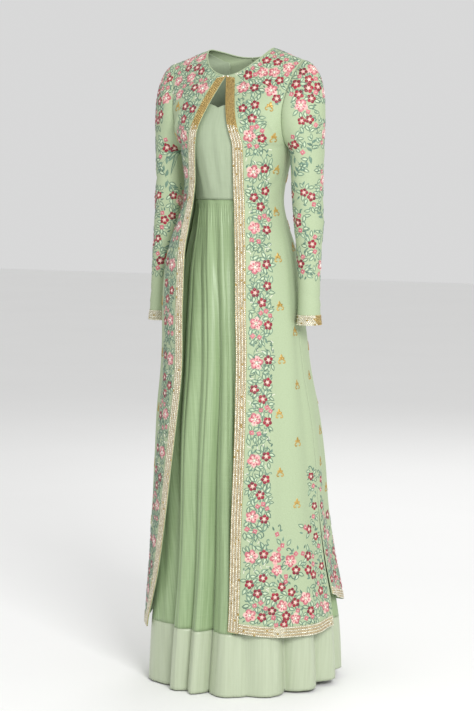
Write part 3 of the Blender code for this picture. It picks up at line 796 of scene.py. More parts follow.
    def bodice_grid(self, front: bool) -> Array:
        """Grid of a whole bodice piece, from the shoulders to the waist seam.

        Args:
            front: True for the front.

        Returns:
            Rows by columns of points, from the wearer's right side to the left.
        """
        angles = np.linspace(0.0 if front else 180.0, 90.0, FORM.row_samples)
        spans = ((0.0, 0.33, 12), (0.345, 0.44, 9), (0.46, 1.0, 26))
        shares = np.concatenate([np.linspace(*span) for span in spans])
        rows = [evenly(FORM.ring(FORM.gown_rings, angles, FORM.underarm), self.bodice_columns)]
        rows += [evenly(self.bodice_row(float(share), front), self.bodice_columns) for share in shares[1:]]
        rows[-1] = rows[-1] + np.array([0.0, (-0.5 if front else 0.5) * FORM.shoulder_gap, 0.0])
        rows.reverse()
        for height in np.linspace(FORM.underarm, self.waist, 20)[1:]:
            rows.append(evenly(FORM.ring(FORM.gown_rings, angles, height), self.bodice_columns))
        half = pull_in(np.array(rows), FORM.seam_gap / 2, -1)
        half[-1, :, 2] += self.waist_gap / 2
        return half

    def fold_column(self, fold: int, across: float, heights: Array) -> Array:
        """One column of the skirt at a place across a fold.

        Args:
            fold: Number of the fold, from the centre front round the wearer's left.
            across: Share of the way across it, from its own valley to the next.
            heights: Heights above the hem.

        Returns:
            The points of the column.
        """
        count = len(self.valleys)
        here = np.array(self.valleys[fold % count][:4]) + 360.0 * (fold // count)
        after = np.array(self.valleys[(fold + 1) % count][:4]) + 360.0 * ((fold + 1) // count)
        places = np.array([self.valley_heights, ((1 - across) * here + across * after)[::-1]]).T
        degrees = follow(places, heights)[:, 0]
        lift = follow(self.hem_lift, degrees)[:, 0]
        growth = follow(self.fold_growth, heights)[:, 0]
        heights = heights + lift * np.clip(1.0 - heights / self.band_seam, 0.0, 1.0)
        depth = self.valleys[fold % count][4] * self.valley(across)
        depth += self.valleys[(fold + 1) % count][4] * self.valley(1 - across)
        below = np.clip(self.waist - heights, 0.0, 1.0)
        gathers = self.gather_depth * (0.5 - 0.5 * math.cos(self.gathers * math.pi * across))
        gathers = gathers * np.sin(math.pi * np.clip(below / self.gather_fade, 0.0, 1.0))
        pleats = self.pleat_depth * np.sin(math.pi * np.clip(below / self.pleat_fade, 0.0, 1.0))
        pleats = pleats * math.cos(self.pleats * math.pi * across)
        swing = self.swing * np.sin(self.swing_rate * heights + self.swing_shift * fold)
        pinch = 1.0 - np.abs(np.sin(math.pi * (2.0 * across + self.crimp_shift * fold + swing)))
        crimp = self.crimp_depth * pinch**self.crimp_edge * min(1.0, 6.0 * across * (1.0 - across))
        crimp = crimp * np.sin(math.pi * np.clip(below / self.crimp_fade, 0.0, 1.0)) ** self.crimp_swell
        return FORM.ring(FORM.gown_rings, degrees, heights, -depth * growth - gathers + pleats - crimp)

    def valley(self, share: float) -> float:
        """How deep the cloth lies at a share of the way from a valley's floor to its rim."""
        return max(0.0, 1.0 - share / self.valley_reach) ** 2

    def fold_grid(self, heights: Array, first: int, last: int) -> Array:
        """Grid of the skirt from the crest of one fold to the crest of another.

        Args:
            heights: Heights of the rows.
            first: The fold it starts in.
            last: The fold it ends in.

        Returns:
            Rows by columns of points.
        """
        places = np.linspace(first + 0.5, last + 0.5, (last - first) * self.columns_a_fold + 1)
        folds = np.minimum(np.floor(places).astype(int), last)
        columns = [self.fold_column(int(fold), float(place - fold), heights) for fold, place in zip(folds, places)]
        grid = pull_in(np.stack(columns, axis=1), FORM.seam_gap / 2, 0)
        return pull_in(grid, FORM.seam_gap / 2, -1)

    def build(self) -> None:
        """Make the gown's pieces."""
        for name, front in (("front", True), ("back", False)):
            half = self.bodice_grid(front)
            self.build_bodice(name, np.concatenate((half[:, ::-1] * MIRROR, half), axis=1))
        count = len(self.valleys)
        spans = {
            "front": (self.right_seam_fold - count, self.left_seam_fold),
            "back": (self.left_seam_fold, self.right_seam_fold),
        }
        for name, (first, last) in spans.items():
            rows = round((self.waist - self.band_seam) / self.row_step)
            skirt = self.fold_grid(np.linspace(self.waist, self.band_seam, rows), first, last)
            skirt[0, :, 2] -= self.waist_gap / 2
            skirt[-1, :, 2] += FORM.seam_gap / 2
            band = self.fold_grid(np.linspace(self.band_seam, 0.0, self.band_rows), first, last)
            band[0, :, 2] -= FORM.seam_gap / 2
            parts = (("skirt", skirt, self.silk, "gown_silk"), ("hem_band", band, self.satin, "gown_satin"))
            for part, grid, material, slot in parts:
                cloth = Cloth(grid, 0.5)
                self.pieces.sheet(f"gown_{part}_{name}_cloth", cloth, self.wall, material, slot, "gathered")

    def build_bodice(self, name: str, grid: Array) -> None:
        """Make one bodice piece, with light drag lines towards the waist.

        Args:
            name: Front or back.
            grid: Its points.
        """
        cloth = Cloth(grid, 0.5, split=True)
        waist = float(cloth.down[-1])
        cloth.crease(creases(tuple((a, waist - b, c, waist - d, *size) for a, b, c, d, *size in self.drag_lines)))
        self.pieces.sheet(f"gown_bodice_{name}_cloth", cloth, self.wall, self.smooth_silk, "gown_silk", "stretched")


# ---------------------------------------------------------------- the jacket


@dataclass(frozen=True)
class FrontCut:
    """How a front is cut, and how it stands off the form: heights with degrees round from the centre front."""

    edge: Table
    stand_off: Table
    stand_off_reach: float
    stand_off_end: float
    hem: Table


FRONT_CUTS = {
    Side.LEFT: FrontCut(
        edge=(
            (0.050, 18.0), (0.144, 18.8), (0.305, 21.3), (0.508, 24.2), (0.640, 25.6),
            (0.757, 26.0), (0.842, 24.3), (0.957, 22.4), (1.057, 21.0), (1.180, 21.2),
        ),
        stand_off=(
            (0.050, 0.000), (0.600, 0.002), (0.860, 0.006), (1.000, 0.009), (1.060, 0.008), (1.120, 0.003),
            (1.180, 0.000),
        ),
        stand_off_reach=35.0,
        stand_off_end=60.0,
        hem=((0.0, 0.142), (0.35, 0.129), (0.75, 0.127), (1.0, 0.136)),
    ),
    Side.RIGHT: FrontCut(
        edge=(
            (0.050, 50.0), (0.127, 45.0), (0.219, 35.5), (0.284, 31.0), (0.386, 26.0), (0.498, 22.0), (0.599, 18.5),
            (0.675, 17.0), (0.797, 17.0), (0.900, 18.0), (0.990, 22.0), (1.057, 26.0), (1.100, 25.0), (1.180, 21.2),
        ),
        stand_off=(
            (0.050, 0.000), (0.300, 0.005), (0.598, 0.008), (0.744, 0.019), (0.860, 0.032), (0.968, 0.034),
            (1.057, 0.024), (1.120, 0.009), (1.180, 0.000),
        ),
        stand_off_reach=45.0,
        stand_off_end=92.0,
        hem=((0.0, 0.118), (0.40, 0.124), (1.0, 0.136)),
    ),
}


@dataclass
class Jacket:
    """The outer layer: two fronts, a back and two sleeves."""

    pieces: Pieces
    crepe: bpy.types.Material
    wall: float = 0.0012
    band_width: float = 0.022
    slit_top: float = 0.434
    slit_opening: float = 0.004
    edge_fade: float = 1.7
    columns: int = 58
    row_step: float = 0.0090
    fold_top: float = 0.80
    fold_full: float = 0.25
    cap_pull: float = 0.95
    cap_lean: float = 0.35
    armhole_gap: float = 0.0004
    sleeve_columns: int = 72
    cap_at_underarm: tuple[float, float, float] = (0.5, 0.0, -0.85)
    cap_at_tip: tuple[float, float, float] = (1.0, 0.0, -0.25)
    sheets: dict[str, Cloth] = field(default_factory=dict)
    neck_rows: dict[str, int] = field(default_factory=dict)
    back_hem: Table = ((0.0, 0.150), (0.55, 0.162), (1.0, 0.204))
    folds: Table = (
        (-72.0, 7.0, 0.005), (42.0, 7.0, 0.002), (58.0, 8.0, 0.006), (83.0, 6.0, 0.005), (107.0, 8.0, 0.011),
        (152.0, 9.0, 0.009),
    )
    # Height, then across and depth on the left and on the right, then half width and half depth.
    sleeve_rings: Table = (
        (1.160, 0.1700, -0.002, 0.1700, -0.002, 0.0340, 0.041),
        (1.110, 0.1710, -0.003, 0.1705, -0.004, 0.0330, 0.038),
        (1.065, 0.1725, -0.003, 0.1720, -0.007, 0.0320, 0.036),
        (1.022, 0.1745, -0.003, 0.1745, -0.010, 0.0310, 0.034),
        (0.990, 0.1760, -0.004, 0.1765, -0.014, 0.0290, 0.031),
        (0.955, 0.1770, -0.005, 0.1785, -0.020, 0.0260, 0.028),
        (0.912, 0.1775, -0.006, 0.1800, -0.026, 0.0235, 0.026),
        (0.862, 0.1780, -0.006, 0.1815, -0.031, 0.0225, 0.025),
        (0.817, 0.1780, -0.006, 0.1820, -0.033, 0.0235, 0.026),
        (0.795, 0.1785, -0.006, 0.1825, -0.034, 0.0255, 0.027),
    )

    def fold_drop(self, degrees: Array, heights: Array) -> Array:
        """How far the soft folds dip inwards.

        Args:
            degrees: Angles from the centre front.
            heights: Heights above the hem.

        Returns:
            The dip at each place.
        """
        growth = smooth((self.fold_top - heights) / (self.fold_top - self.fold_full))
        drop = np.zeros(np.broadcast(degrees, heights).shape)
        for angle, width, depth in self.folds:
            away = (np.mod(degrees - angle + 180.0, 360.0) - 180.0) / width
            drop = drop + depth * np.exp(-(away**2))
        return drop * growth

    def front_row(self, side: Side, heights: Array) -> Array:
        """A dense row of a front from its edge to the side seam, on the wearer's left.

        Args:
            side: Which front.
            heights: Height of each of the row's points.

        Returns:
            The points.
        """
        cut = FRONT_CUTS[side]
        angles = np.linspace(float(follow(cut.edge, heights[0])[0]), 90.0, len(heights))
        off = follow(cut.stand_off, heights)[:, 0]
        off = off * smooth((cut.stand_off_end - angles) / cut.stand_off_reach)
        off = off - self.fold_drop(side.value * angles, heights)
        return FORM.ring(FORM.jacket_rings, angles, heights, off)

    def back_row(self, heights: Array) -> Array:
        """A dense row of the back from the centre to the side seam, on the wearer's left."""
        angles = np.linspace(180.0, 90.0, len(heights))
        return FORM.ring(FORM.jacket_rings, angles, heights, -self.fold_drop(angles, heights))

    def lower_rows(self, row: Callable[[Array], Array], hem_table: Table) -> tuple[list[Array], int]:
        """Rows from below the underarm to the hem.

        Args:
            row: Makes a dense row from its heights.
            hem_table: Height of the hem across the row.

        Returns:
            The rows, and how many of them lie above the slit's top.
        """
        shares = np.linspace(0.0, 1.0, FORM.row_samples)
        count = round((FORM.underarm - self.slit_top) / self.row_step)
        above = np.linspace(FORM.underarm, self.slit_top, count)[1:]
        rows = [evenly(row(np.full(FORM.row_samples, height)), self.columns) for height in above]
        hem = follow(hem_table, shares)[:, 0]
        count = round((self.slit_top - float(hem.mean())) / self.row_step)
        for part in np.linspace(0.0, 1.0, count)[1:]:
            rows.append(evenly(row(self.slit_top + (hem - self.slit_top) * part), self.columns))
        return rows, len(above)

    def finish_side(self, rows: list[Array], slit_row: int) -> Array:
        """Close the side seam, and part it below the top of the slit.

        Args:
            rows: The rows from the shoulder to the hem.
            slit_row: The row at the slit's top.

        Returns:
            The grid.
        """
        grid = pull_in(np.array(rows), FORM.seam_gap / 2, -1)
        below = len(grid) - slit_row
        opening = np.zeros(len(grid))
        opening[slit_row:] = self.slit_opening * np.linspace(1.0 / below, 1.0, below)
        grid[:, -1] += unit(grid[:, -3] - grid[:, -1]) * opening[:, None]
        grid[:, -2] += unit(grid[:, -4] - grid[:, -2]) * opening[:, None] * 0.5
        return grid

    def front_grid(self, side: Side) -> tuple[Array, int]:
        """Grid of a front on its own side, from the shoulder to the hem.

        Args:
            side: Which front.

        Returns:
            The grid, and the row where the neckline meets the front edge.
        """
        edge_share = float(follow(FRONT_CUTS[side].edge, FORM.underarm)[0]) / 90.0
        shares = np.unique(np.concatenate([np.linspace(0.0, 0.60, 22), np.linspace(0.60, 1.0, 18)]))
        rows = []
        for share, dense in zip(shares, FORM.upper_rows(shares, True)):
            start = edge_share * (1.0 - min(share / FORM.neck_share_front, 1.0) ** self.edge_fade)
            first = start * (FORM.row_samples - 1)
            cut = np.array([np.interp(first, np.arange(FORM.row_samples), dense[:, axis]) for axis in range(3)])
            rows.append(evenly(np.vstack([cut, dense[int(first) + 1 :]]), self.columns))
        rows.reverse()
        lower, above = self.lower_rows(lambda heights: self.front_row(side, heights), FRONT_CUTS[side].hem)
        grid = self.finish_side(rows + lower, len(rows) + above - 1)
        grid = pull_in(grid, FORM.seam_gap / 2, 0)
        neck_row = len(shares) - 1 - int(np.argmin(np.abs(shares - FORM.neck_share_front)))
        return grid * np.array([side.value, 1.0, 1.0]), neck_row

    def back_grid(self) -> Array:
        """Grid of the whole back, from the wearer's right side to the left.

        Returns:
            Rows by columns of points.
        """
        shares = np.linspace(0.0, 1.0, 42)
        rows = [evenly(row, self.columns) for row in FORM.upper_rows(shares, False)]
        rows.reverse()
        lower, above = self.lower_rows(self.back_row, self.back_hem)
        half = self.finish_side(rows + lower, len(rows) + above - 1)
        return np.concatenate((half[:, ::-1] * MIRROR, half), axis=1)

    def sleeve_grid(self, side: Side) -> Array:
        """Closed grid of a sleeve on its own side, from the armhole to the wrist.

        Args:
            side: Which sleeve.

        Returns:
            Rows by columns of points; the first column is at the underarm, the next ones run up the front.
        """
        rings = np.array(self.sleeve_rings)[:, [0, 1, 2, 5, 6] if side is Side.LEFT else [0, 3, 4, 5, 6]]
        heights = np.linspace(rings[0, 0], rings[-1, 0], 52)
        sizes = follow(rings[::-1], heights)
        columns = []
        for index in range(self.sleeve_columns):
            turn = 2.0 * index / self.sleeve_columns
            turn = turn if turn <= 1.0 else turn - 2.0
            share = abs(turn)
            start = follow(FORM.armhole, turn) + np.array([self.armhole_gap, 0.0, 0.0])
            around = math.pi * share
            lean = -1.0 if turn > 0 else 1.0
            x = sizes[:, 0] - sizes[:, 2] * math.cos(around)
            y = sizes[:, 1] + lean * sizes[:, 3] * math.sin(around)
            down = np.stack([x, y, heights], axis=1)
            reach = float(np.linalg.norm(down[0] - start))
            away = (1 - share) * np.array(self.cap_at_underarm) + share * np.array(self.cap_at_tip)
            away = unit(away + np.array([0.0, self.cap_lean * lean * math.sin(around), 0.0]))
            t = np.linspace(0.0, 1.0, 24)[:-1, None]
            rise, bend = hermite(t, start, down[0], away, np.array([0.0, 0.0, -1.0]))
            columns.append(np.vstack([rise + bend * self.cap_pull * reach, down]))
        return np.stack(columns, axis=1) * np.array([side.value, 1.0, 1.0])

    def build(self) -> None:
        """Make the jacket's cloth pieces."""
        for side in Side:
            name = side.name.lower()
            grid, neck_row = self.front_grid(side)
            cloth = Cloth(grid).crease(self.front_creases())
            self.sheets[f"front_{name}"] = cloth
            self.neck_rows[name] = neck_row
            self.pieces.sheet(f"jacket_front_{name}_cloth", cloth, self.wall, self.crepe, "jacket_crepe", "hung")
            sleeve = Cloth(self.sleeve_grid(side), 0.5, closed=True).crease(self.sleeve_creases(side))
            self.sheets[f"sleeve_{name}"] = sleeve
            self.pieces.sheet(f"jacket_sleeve_{name}_cloth", sleeve, self.wall, self.crepe, "jacket_crepe", "hung")
        back = Cloth(self.back_grid(), 0.5, split=True).crease(self.back_creases())
        self.sheets["back"] = back
        self.pieces.sheet("jacket_back_cloth", back, self.wall, self.crepe, "jacket_crepe", "hung")

    def front_creases(self) -> tuple[Crease, ...]:
        """Soft drag lines of a front: from the armhole to the bust, at the waist, and long falls below it."""
        return creases((
            (0.066, 0.200, 0.112, 0.285, 0.006, -0.0024), (0.078, 0.196, 0.124, 0.272, 0.007, 0.0021),
            (0.150, 0.190, 0.100, 0.235, 0.006, 0.0014), (0.160, 0.215, 0.105, 0.262, 0.006, -0.0012),
            (0.130, 0.330, 0.085, 0.372, 0.007, 0.0013), (0.132, 0.352, 0.078, 0.392, 0.006, -0.0013),
            (0.120, 0.395, 0.075, 0.410, 0.007, 0.0012), (0.120, 0.470, 0.135, 0.900, 0.016, 0.0026),
            (0.155, 0.600, 0.185, 1.150, 0.018, -0.0024), (0.095, 0.720, 0.112, 1.180, 0.014, -0.0016),
        ))

    def back_creases(self) -> tuple[Crease, ...]:
        """Soft falls of the back, from the shoulder blades to the waist and from the waist to the hem."""
        falls = (
            (0.080, 0.060, 0.060, 0.160, 0.010, 0.0012), (0.050, 0.260, 0.094, 0.300, 0.007, -0.0014),
            (0.046, 0.290, 0.100, 0.320, 0.007, 0.0014), (0.055, 0.420, 0.090, 1.050, 0.017, 0.0030),
            (0.115, 0.480, 0.170, 1.100, 0.018, -0.0028),
        )
        return creases(falls, -1.0) + creases(falls) + creases(((0.012, 0.400, 0.020, 1.080, 0.020, -0.0030),))

    def sleeve_creases(self, side: Side) -> tuple[Crease, ...]:
        """Creases round the underarm, the elbow and the wrist.

        Args:
            side: Which sleeve.

        Returns:
            The fold lines.
        """
        return creases((
            (0.085, 0.150, 0.040, 0.205, 0.006, -0.0022), (-0.085, 0.160, -0.045, 0.210, 0.006, -0.0022),
            (0.060, 0.185, 0.010, 0.225, 0.007, 0.0016),
            (-0.062, 0.262, 0.022, 0.292 + 0.010 * side.value, 0.006, -0.0021),
            (-0.056, 0.318, 0.028, 0.300, 0.006, 0.0019), (-0.060, 0.338, 0.016, 0.352, 0.0055, -0.0022),
            (0.058, 0.285, 0.012, 0.320, 0.0055, -0.0018), (0.060, 0.345, -0.006, 0.372, 0.006, 0.0018),
            (-0.048, 0.400, 0.018, 0.415, 0.0055, -0.0013), (0.046, 0.455, -0.014, 0.470, 0.005, 0.0012),
            (-0.040, 0.520, 0.022, 0.530, 0.005, -0.0013), (0.040, 0.538, -0.020, 0.545, 0.005, 0.0012),
        ))


# ---------------------------------------------------------------- stitching


@dataclass(frozen=True)
class Stitch:
    """A raised stitched shape in its own flat plane: outline points, heights and faces."""

    points: Array
    heights: Array
    faces: Array


def petal_shape(length: float, width: float, height: float, start: float, notch: float = 0.0) -> Stitch:
    """A petal filled with satin stitch, pointing along +y from the flower's centre.

    Args:
        length: Its length.
        width: Its greatest width.
        height: How far it stands up.
        start: Distance of its foot from the centre.
        notch: How deep its tip is notched.

    Returns:
        The shape.
    """
    along = np.linspace(0.0, 1.0, 6)
    across = np.array([-1.0, 0.0, 1.0])
    spread = np.sin(np.pi * along**0.8) ** 0.55 * 0.5 + 0.04
    x = width * spread[:, None] * across[None, :]
    tip = notch * np.array([0.0, 1.0, 0.0]) * length
    y = start + length * along[:, None] - tip[None, :] * along[:, None] ** 3
    rise = np.array([0.0, 1.0, 0.0])[None, :] * np.sin(np.pi * np.clip(along, 0.04, 0.96))[:, None] ** 0.4
    return Stitch(np.stack([x, y], axis=-1).reshape(-1, 2), (height * rise).ravel(), grid_faces(6, 3, False))


def band_shape(line: Array, width: float, height: float, closed: bool = False) -> Stitch:
    """A line of stem stitch: a low rounded band along points.

    Args:
        line: Its points.
        width: Its width.
        height: How far it stands up.
        closed: True if it ends where it starts.

    Returns:
        The shape.
    """
    if closed:
        along = np.roll(line, -1, axis=0) - np.roll(line, 1, axis=0)
    else:
        along = np.gradient(line, axis=0)
    side = unit(np.stack([-along[:, 1], along[:, 0]], axis=1))
    ends = np.sin(np.pi * np.linspace(0.04, 0.96, len(line))) * 2.2
    taper = np.ones(len(line)) if closed else np.clip(ends, 0.4, 1.0)
    offsets = np.array([-0.5, 0.0, 0.5])
    points = line[:, None, :] + side[:, None, :] * (offsets[None, :] * width * taper[:, None])[..., None]
    heights = height * taper[:, None] * np.array([0.0, 1.0, 0.0])[None, :]
    faces = grid_faces(len(line), 3, False)
    if closed:
        last = (len(line) - 1) * 3
        faces = np.vstack([faces, [[last, 0, 1, last + 1], [last + 1, 1, 2, last + 2]]])
    return Stitch(points.reshape(-1, 2), heights.ravel(), faces)


def leaf_line(length: float, width: float, bend: float) -> Array:
    """Outline of a pointed leaf that bends to one side.

    Args:
        length: Its length.
        width: Its width.
        bend: How far its tip bends over.

    Returns:
        The outline's points.
    """
    share = np.linspace(0.0, 1.0, 6)
    swell = np.sin(np.pi * share**0.85) * width / 2
    middle = np.stack([bend * share**2, length * share], axis=1)
    side = np.stack([swell, np.zeros(6)], axis=1)
    return np.vstack([middle + side, (middle - side)[-2:0:-1]])


def leaf_fill(length: float, width: float, bend: float, height: float) -> Stitch:
    """A leaf filled with satin stitch, raised along its middle.

    Args:
        length: Its length.
        width: Its width.
        bend: How far its tip bends over.
        height: How far it stands up.

    Returns:
        The shape.
    """
    share = np.linspace(0.0, 1.0, 6)
    across = np.array([-1.0, 0.0, 1.0])
    swell = np.maximum(np.sin(np.pi * share**0.85), 0.03) * width / 2
    x = bend * share[:, None] ** 2 + swell[:, None] * across[None, :]
    y = length * share[:, None] * np.ones(3)[None, :]
    rise = height * (swell / swell.max())[:, None] * np.array([0.0, 1.0, 0.0])[None, :]
    return Stitch(np.stack([x, y], axis=-1).reshape(-1, 2), rise.ravel(), grid_faces(6, 3, False))


def dot_shape(radius: float, height: float, corners: int = 8) -> Stitch:
    """A small round knot or sequin.

    Args:
        radius: Its radius.
        height: How far it stands up.
        corners: Corners of its outline.

    Returns:
        The shape.
    """
    turn = np.arange(corners) * 2 * np.pi / corners
    circle = np.stack([np.cos(turn), np.sin(turn)], axis=1)
    points = np.vstack([circle * radius, circle * radius * 0.62, [[0.0, 0.0]]])
    heights = np.concatenate([np.zeros(corners), np.full(corners, 0.75 * height), [height]])
    first = np.arange(corners)
    after = (first + 1) % corners
    top = np.full(corners, 2 * corners)
    sides = np.stack([first, after, corners + after, corners + first], axis=1)
    crown = np.stack([corners + first, corners + after, top, top], axis=1)
    return Stitch(points, heights, np.vstack([sides, crown]))


LEAFY = (Motif.LEAF, Motif.OPEN_LEAF, Motif.CURL)
# Width or length at which the stitches of each motif are given.
DRAWN = {
    Motif.ROSE: 0.029, Motif.RING_FLOWER: 0.018, Motif.BLOSSOM: 0.010, Motif.LEAF: 0.013, Motif.CURL: 0.014,
    Motif.BUTI: 0.0152,
}
Place = tuple[float, float]
Motifs = tuple[tuple[Motif, float, float], ...]
Region = Callable[[float, float, Array], bool]


@dataclass
class Needlework:
    """Embroidery on one sheet: collects stitched shapes and turns them into one piece for each thread."""

    name: str
    cloth: Cloth
    pieces: Pieces
    threads: dict[Thread, bpy.types.Material]
    seed: int
    base: float = 0.00065
    cling: float = 0.021
    # Room that a motif keeps for itself, as a share of its size, and how much of it others keep clear.
    leaf_room: float = 0.30
    flower_room: float = 0.47
    clearance: float = 0.92
    leaf_sway: float = 30.0
    stem_width: float = 0.0013
    random: np.random.Generator = field(init=False)
    shapes: dict[Thread, list[tuple[Array, Array, Array, Array, float]]] = field(default_factory=dict)
    rooms: Array = field(default_factory=lambda: np.zeros((0, 4)))
    flowers: Array = field(default_factory=lambda: np.zeros((0, 5)))

    def __post_init__(self) -> None:
        """Seed the hand's small unevenness, so that it is the same each time."""
        self.random = np.random.default_rng(self.seed)

    def stitch(self, thread: Thread, shape: Stitch, at: Place, turn: float, size: float = 1.0) -> None:
        """Stitch one shape.

        Args:
            thread: What it is stitched with.
            shape: The shape.
            at: Where its own zero lies, in metres across and down the sheet.
            turn: How far it is turned, in degrees.
            size: How much larger it is than drawn.
        """
        angle = math.radians(turn)
        spin = np.array([[math.cos(angle), -math.sin(angle)], [math.sin(angle), math.cos(angle)]])
        lay = shape.points * size
        where = np.array(at)[None, :] + (lay @ spin.T) @ self.cloth.flatten(*at).T
        if self.cloth.parted(where):
            return
        tone = float(self.random.uniform(0.0, 1.0))
        self.shapes.setdefault(thread, []).append((where, shape.heights * min(size, 1.2), shape.faces, lay, tone))

    def spot(self, at: Place, turn: float, right: float, ahead: float) -> Place:
        """A place at true distances from another.

        Args:
            at: The first place.
            turn: The direction that counts as ahead, in degrees from the cloth's fall.
            right: The true distance sideways.
            ahead: The true distance ahead.

        Returns:
            The new place.
        """
        angle = math.radians(turn)
        cos, sin = math.cos(angle), math.sin(angle)
        true = np.array([cos * right - sin * ahead, sin * right + cos * ahead])
        counted = self.cloth.flatten(*at) @ true
        return at[0] + float(counted[0]), at[1] + float(counted[1])

    def rose(self, at: Place, size: float, turn: float) -> None:
        """A five-petalled flower with notched two-tone petals, white strokes and a pale centre.

        Args:
            at: Its centre.
            size: Its width.
            turn: How far it is turned.
        """
        scale = size / DRAWN[Motif.ROSE]
        rim = petal_shape(0.0120, 0.0112, 0.0007, 0.0026, 0.26)
        petal = petal_shape(0.0076, 0.0066, 0.0011, 0.0036, 0.20)
        stroke = petal_shape(0.0048, 0.0015, 0.0013, 0.0026)
        for index in range(5):
            angle = turn + 72.0 * index
            self.stitch(Thread.BLUSH if index in (1, 3) else Thread.ROSE, rim, at, angle, scale)
            self.stitch(Thread.ROSE if index in (1, 3) else Thread.BLUSH, petal, at, angle, scale)
            if index != 1:
                self.stitch(Thread.PALE, stroke, at, angle, scale)
            between = self.spot(at, angle + 36.0, 0.0, 0.0088 * scale)
            self.stitch(Thread.WINE, dot_shape(0.0013, 0.0010, 6), between, 0.0, scale)
        self.stitch(Thread.PALE, dot_shape(0.0021, 0.0015), at, turn, scale)

    def ring_flower(self, at: Place, size: float, turn: float) -> None:
        """Five broad dark petals, set apart, round a pink and white middle.

        Args:
            at: Its centre.
            size: Its width.
            turn: How far it is turned.
        """
        scale = size / DRAWN[Motif.RING_FLOWER]
        petal = petal_shape(0.0068, 0.0074, 0.0012, 0.0032, 0.12)
        for index in range(5):
            self.stitch(Thread.WINE, petal, at, turn + 72.0 * index, scale)
        self.stitch(Thread.BLUSH, dot_shape(0.0034, 0.0009), at, turn, scale)
        self.stitch(Thread.PALE, dot_shape(0.0015, 0.0014), at, turn, scale)

    def blossom(self, at: Place, size: float, turn: float) -> None:
        """A small pink blossom with a pale knot.

        Args:
            at: Its centre.
            size: Its width.
            turn: How far it is turned.
        """
        scale = size / DRAWN[Motif.BLOSSOM]
        for index in range(4):
            self.stitch(Thread.ROSE, petal_shape(0.0044, 0.0046, 0.0009, 0.0006), at, turn + 90.0 * index, scale)
        self.stitch(Thread.PALE, dot_shape(0.0009, 0.0012, 6), at, turn, scale)

    def leaf(self, at: Place, size: float, turn: float, open_leaf: bool = False) -> None:
        """A leaf: filled, or outlined round a pale middle.

        Args:
            at: The leaf's foot.
            size: Its length.
            turn: The direction in which it grows.
            open_leaf: True for one that is outlined.
        """
        scale = size / DRAWN[Motif.LEAF]
        bend = float(self.random.choice([-1.0, 1.0])) * 0.0024
        if open_leaf:
            outline = leaf_line(DRAWN[Motif.LEAF], 0.0064, bend)
            self.stitch(Thread.LEAF, band_shape(outline, 0.0015, 0.0007, closed=True), at, turn, scale)
            middle = leaf_fill(0.0092, 0.0030, bend * 0.6, 0.0006)
            self.stitch(Thread.MINT, middle, self.spot(at, turn, 0.0, 0.002 * scale), turn, scale)
        else:
            self.stitch(Thread.LEAF, leaf_fill(DRAWN[Motif.LEAF], 0.0056, bend, 0.0009), at, turn, scale)

    def curl(self, at: Place, size: float, turn: float) -> None:
        """A curling tendril with two small leaves.

        Args:
            at: Its foot.
            size: Its length.
            turn: The direction in which it grows.
        """
        scale = size / DRAWN[Motif.CURL]
        flip = float(self.random.choice([-1.0, 1.0]))
        wind = np.linspace(0.0, 1.0, 12)
        angle = 4.6 * wind**1.3
        radius = 0.0050 * (1.0 - 0.70 * wind)
        x, y = flip * (0.0050 - radius * np.cos(angle)), 0.006 * wind**0.5 + radius * np.sin(angle)
        line = np.stack([x, y], axis=1)
        self.stitch(Thread.LEAF, band_shape(line, 0.0017, 0.0008), at, turn, scale)
        self.stitch(Thread.LEAF, leaf_fill(0.0066, 0.0034, 0.0006, 0.0008), at, turn + 42.0 * flip, scale)

    def branch(self, at: Place, size: float, turn: float) -> None:
        """A curved stem with pointed leaves along both sides and one at its tip.

        Args:
            at: Its foot.
            size: Its length.
            turn: The direction in which it grows.
        """
        flip = float(self.random.choice([-1.0, 1.0]))
        share = np.linspace(0.0, 1.0, 8)
        line = np.stack([0.22 * flip * share**2, 0.72 * share], axis=1) * size
        self.stitch(Thread.LEAF, band_shape(line, 0.0014, 0.0007), at, turn)
        for index, part in enumerate((0.12, 0.34, 0.52, 0.72, 0.92)):
            foot = self.spot(at, turn, 0.22 * flip * part**2 * size, 0.72 * part * size)
            lean = 52.0 * (1 if index % 2 else -1) - 20.0 * flip * part
            self.leaf(foot, size * (0.42 - 0.10 * part), turn + lean, open_leaf=index % 3 == 1)
        tip = self.spot(at, turn, 0.21 * flip * size, 0.70 * size)
        self.leaf(tip, size * 0.32, turn - 26.0 * flip, open_leaf=True)

    def stem(self, points: list[Place]) -> None:
        """A stem through places on the sheet.

        Args:
            points: The places, in metres across and down.
        """
        for first in range(0, len(points) - 1, 2):
            places = np.array(points[first : first + 3])
            along = np.linspace(0.0, len(places) - 1, 4 * (len(places) - 1) + 1)
            line = follow(np.column_stack([np.arange(len(places)), places]), along) - places[0]
            flat = np.linalg.inv(self.cloth.flatten(*places[0]))
            self.stitch(Thread.LEAF, band_shape(line @ flat.T, self.stem_width, 0.0006), tuple(places[0]), 0.0)

    def buti(self, at: Place, size: float, turn: float) -> None:
        """A gold sprig: three petals over two scrolled leaves.

        Args:
            at: Its middle.
            size: Its height.
            turn: How far it is turned from upright.
        """
        scale = size / DRAWN[Motif.BUTI]
        for angle, length in ((115.0, 0.0046), (180.0, 0.0070), (245.0, 0.0046)):
            self.stitch(Thread.GOLD, petal_shape(length, 0.0038, 0.0010, 0.0008), at, turn + angle, scale)
        wind = np.linspace(0.0, 1.0, 10)
        radius = 0.0028 - 0.0013 * wind
        angle = 5.0 * wind - 2.1
        for flip in (-1.0, 1.0):
            line = np.stack([flip * (0.0033 + radius * np.cos(angle)), 0.0040 + radius * np.sin(angle)], axis=1)
            self.stitch(Thread.GOLD, band_shape(line, 0.0019, 0.0009), at, turn, scale)
        self.stitch(Thread.GOLD, dot_shape(0.0012, 0.0014, 6), at, turn, scale)

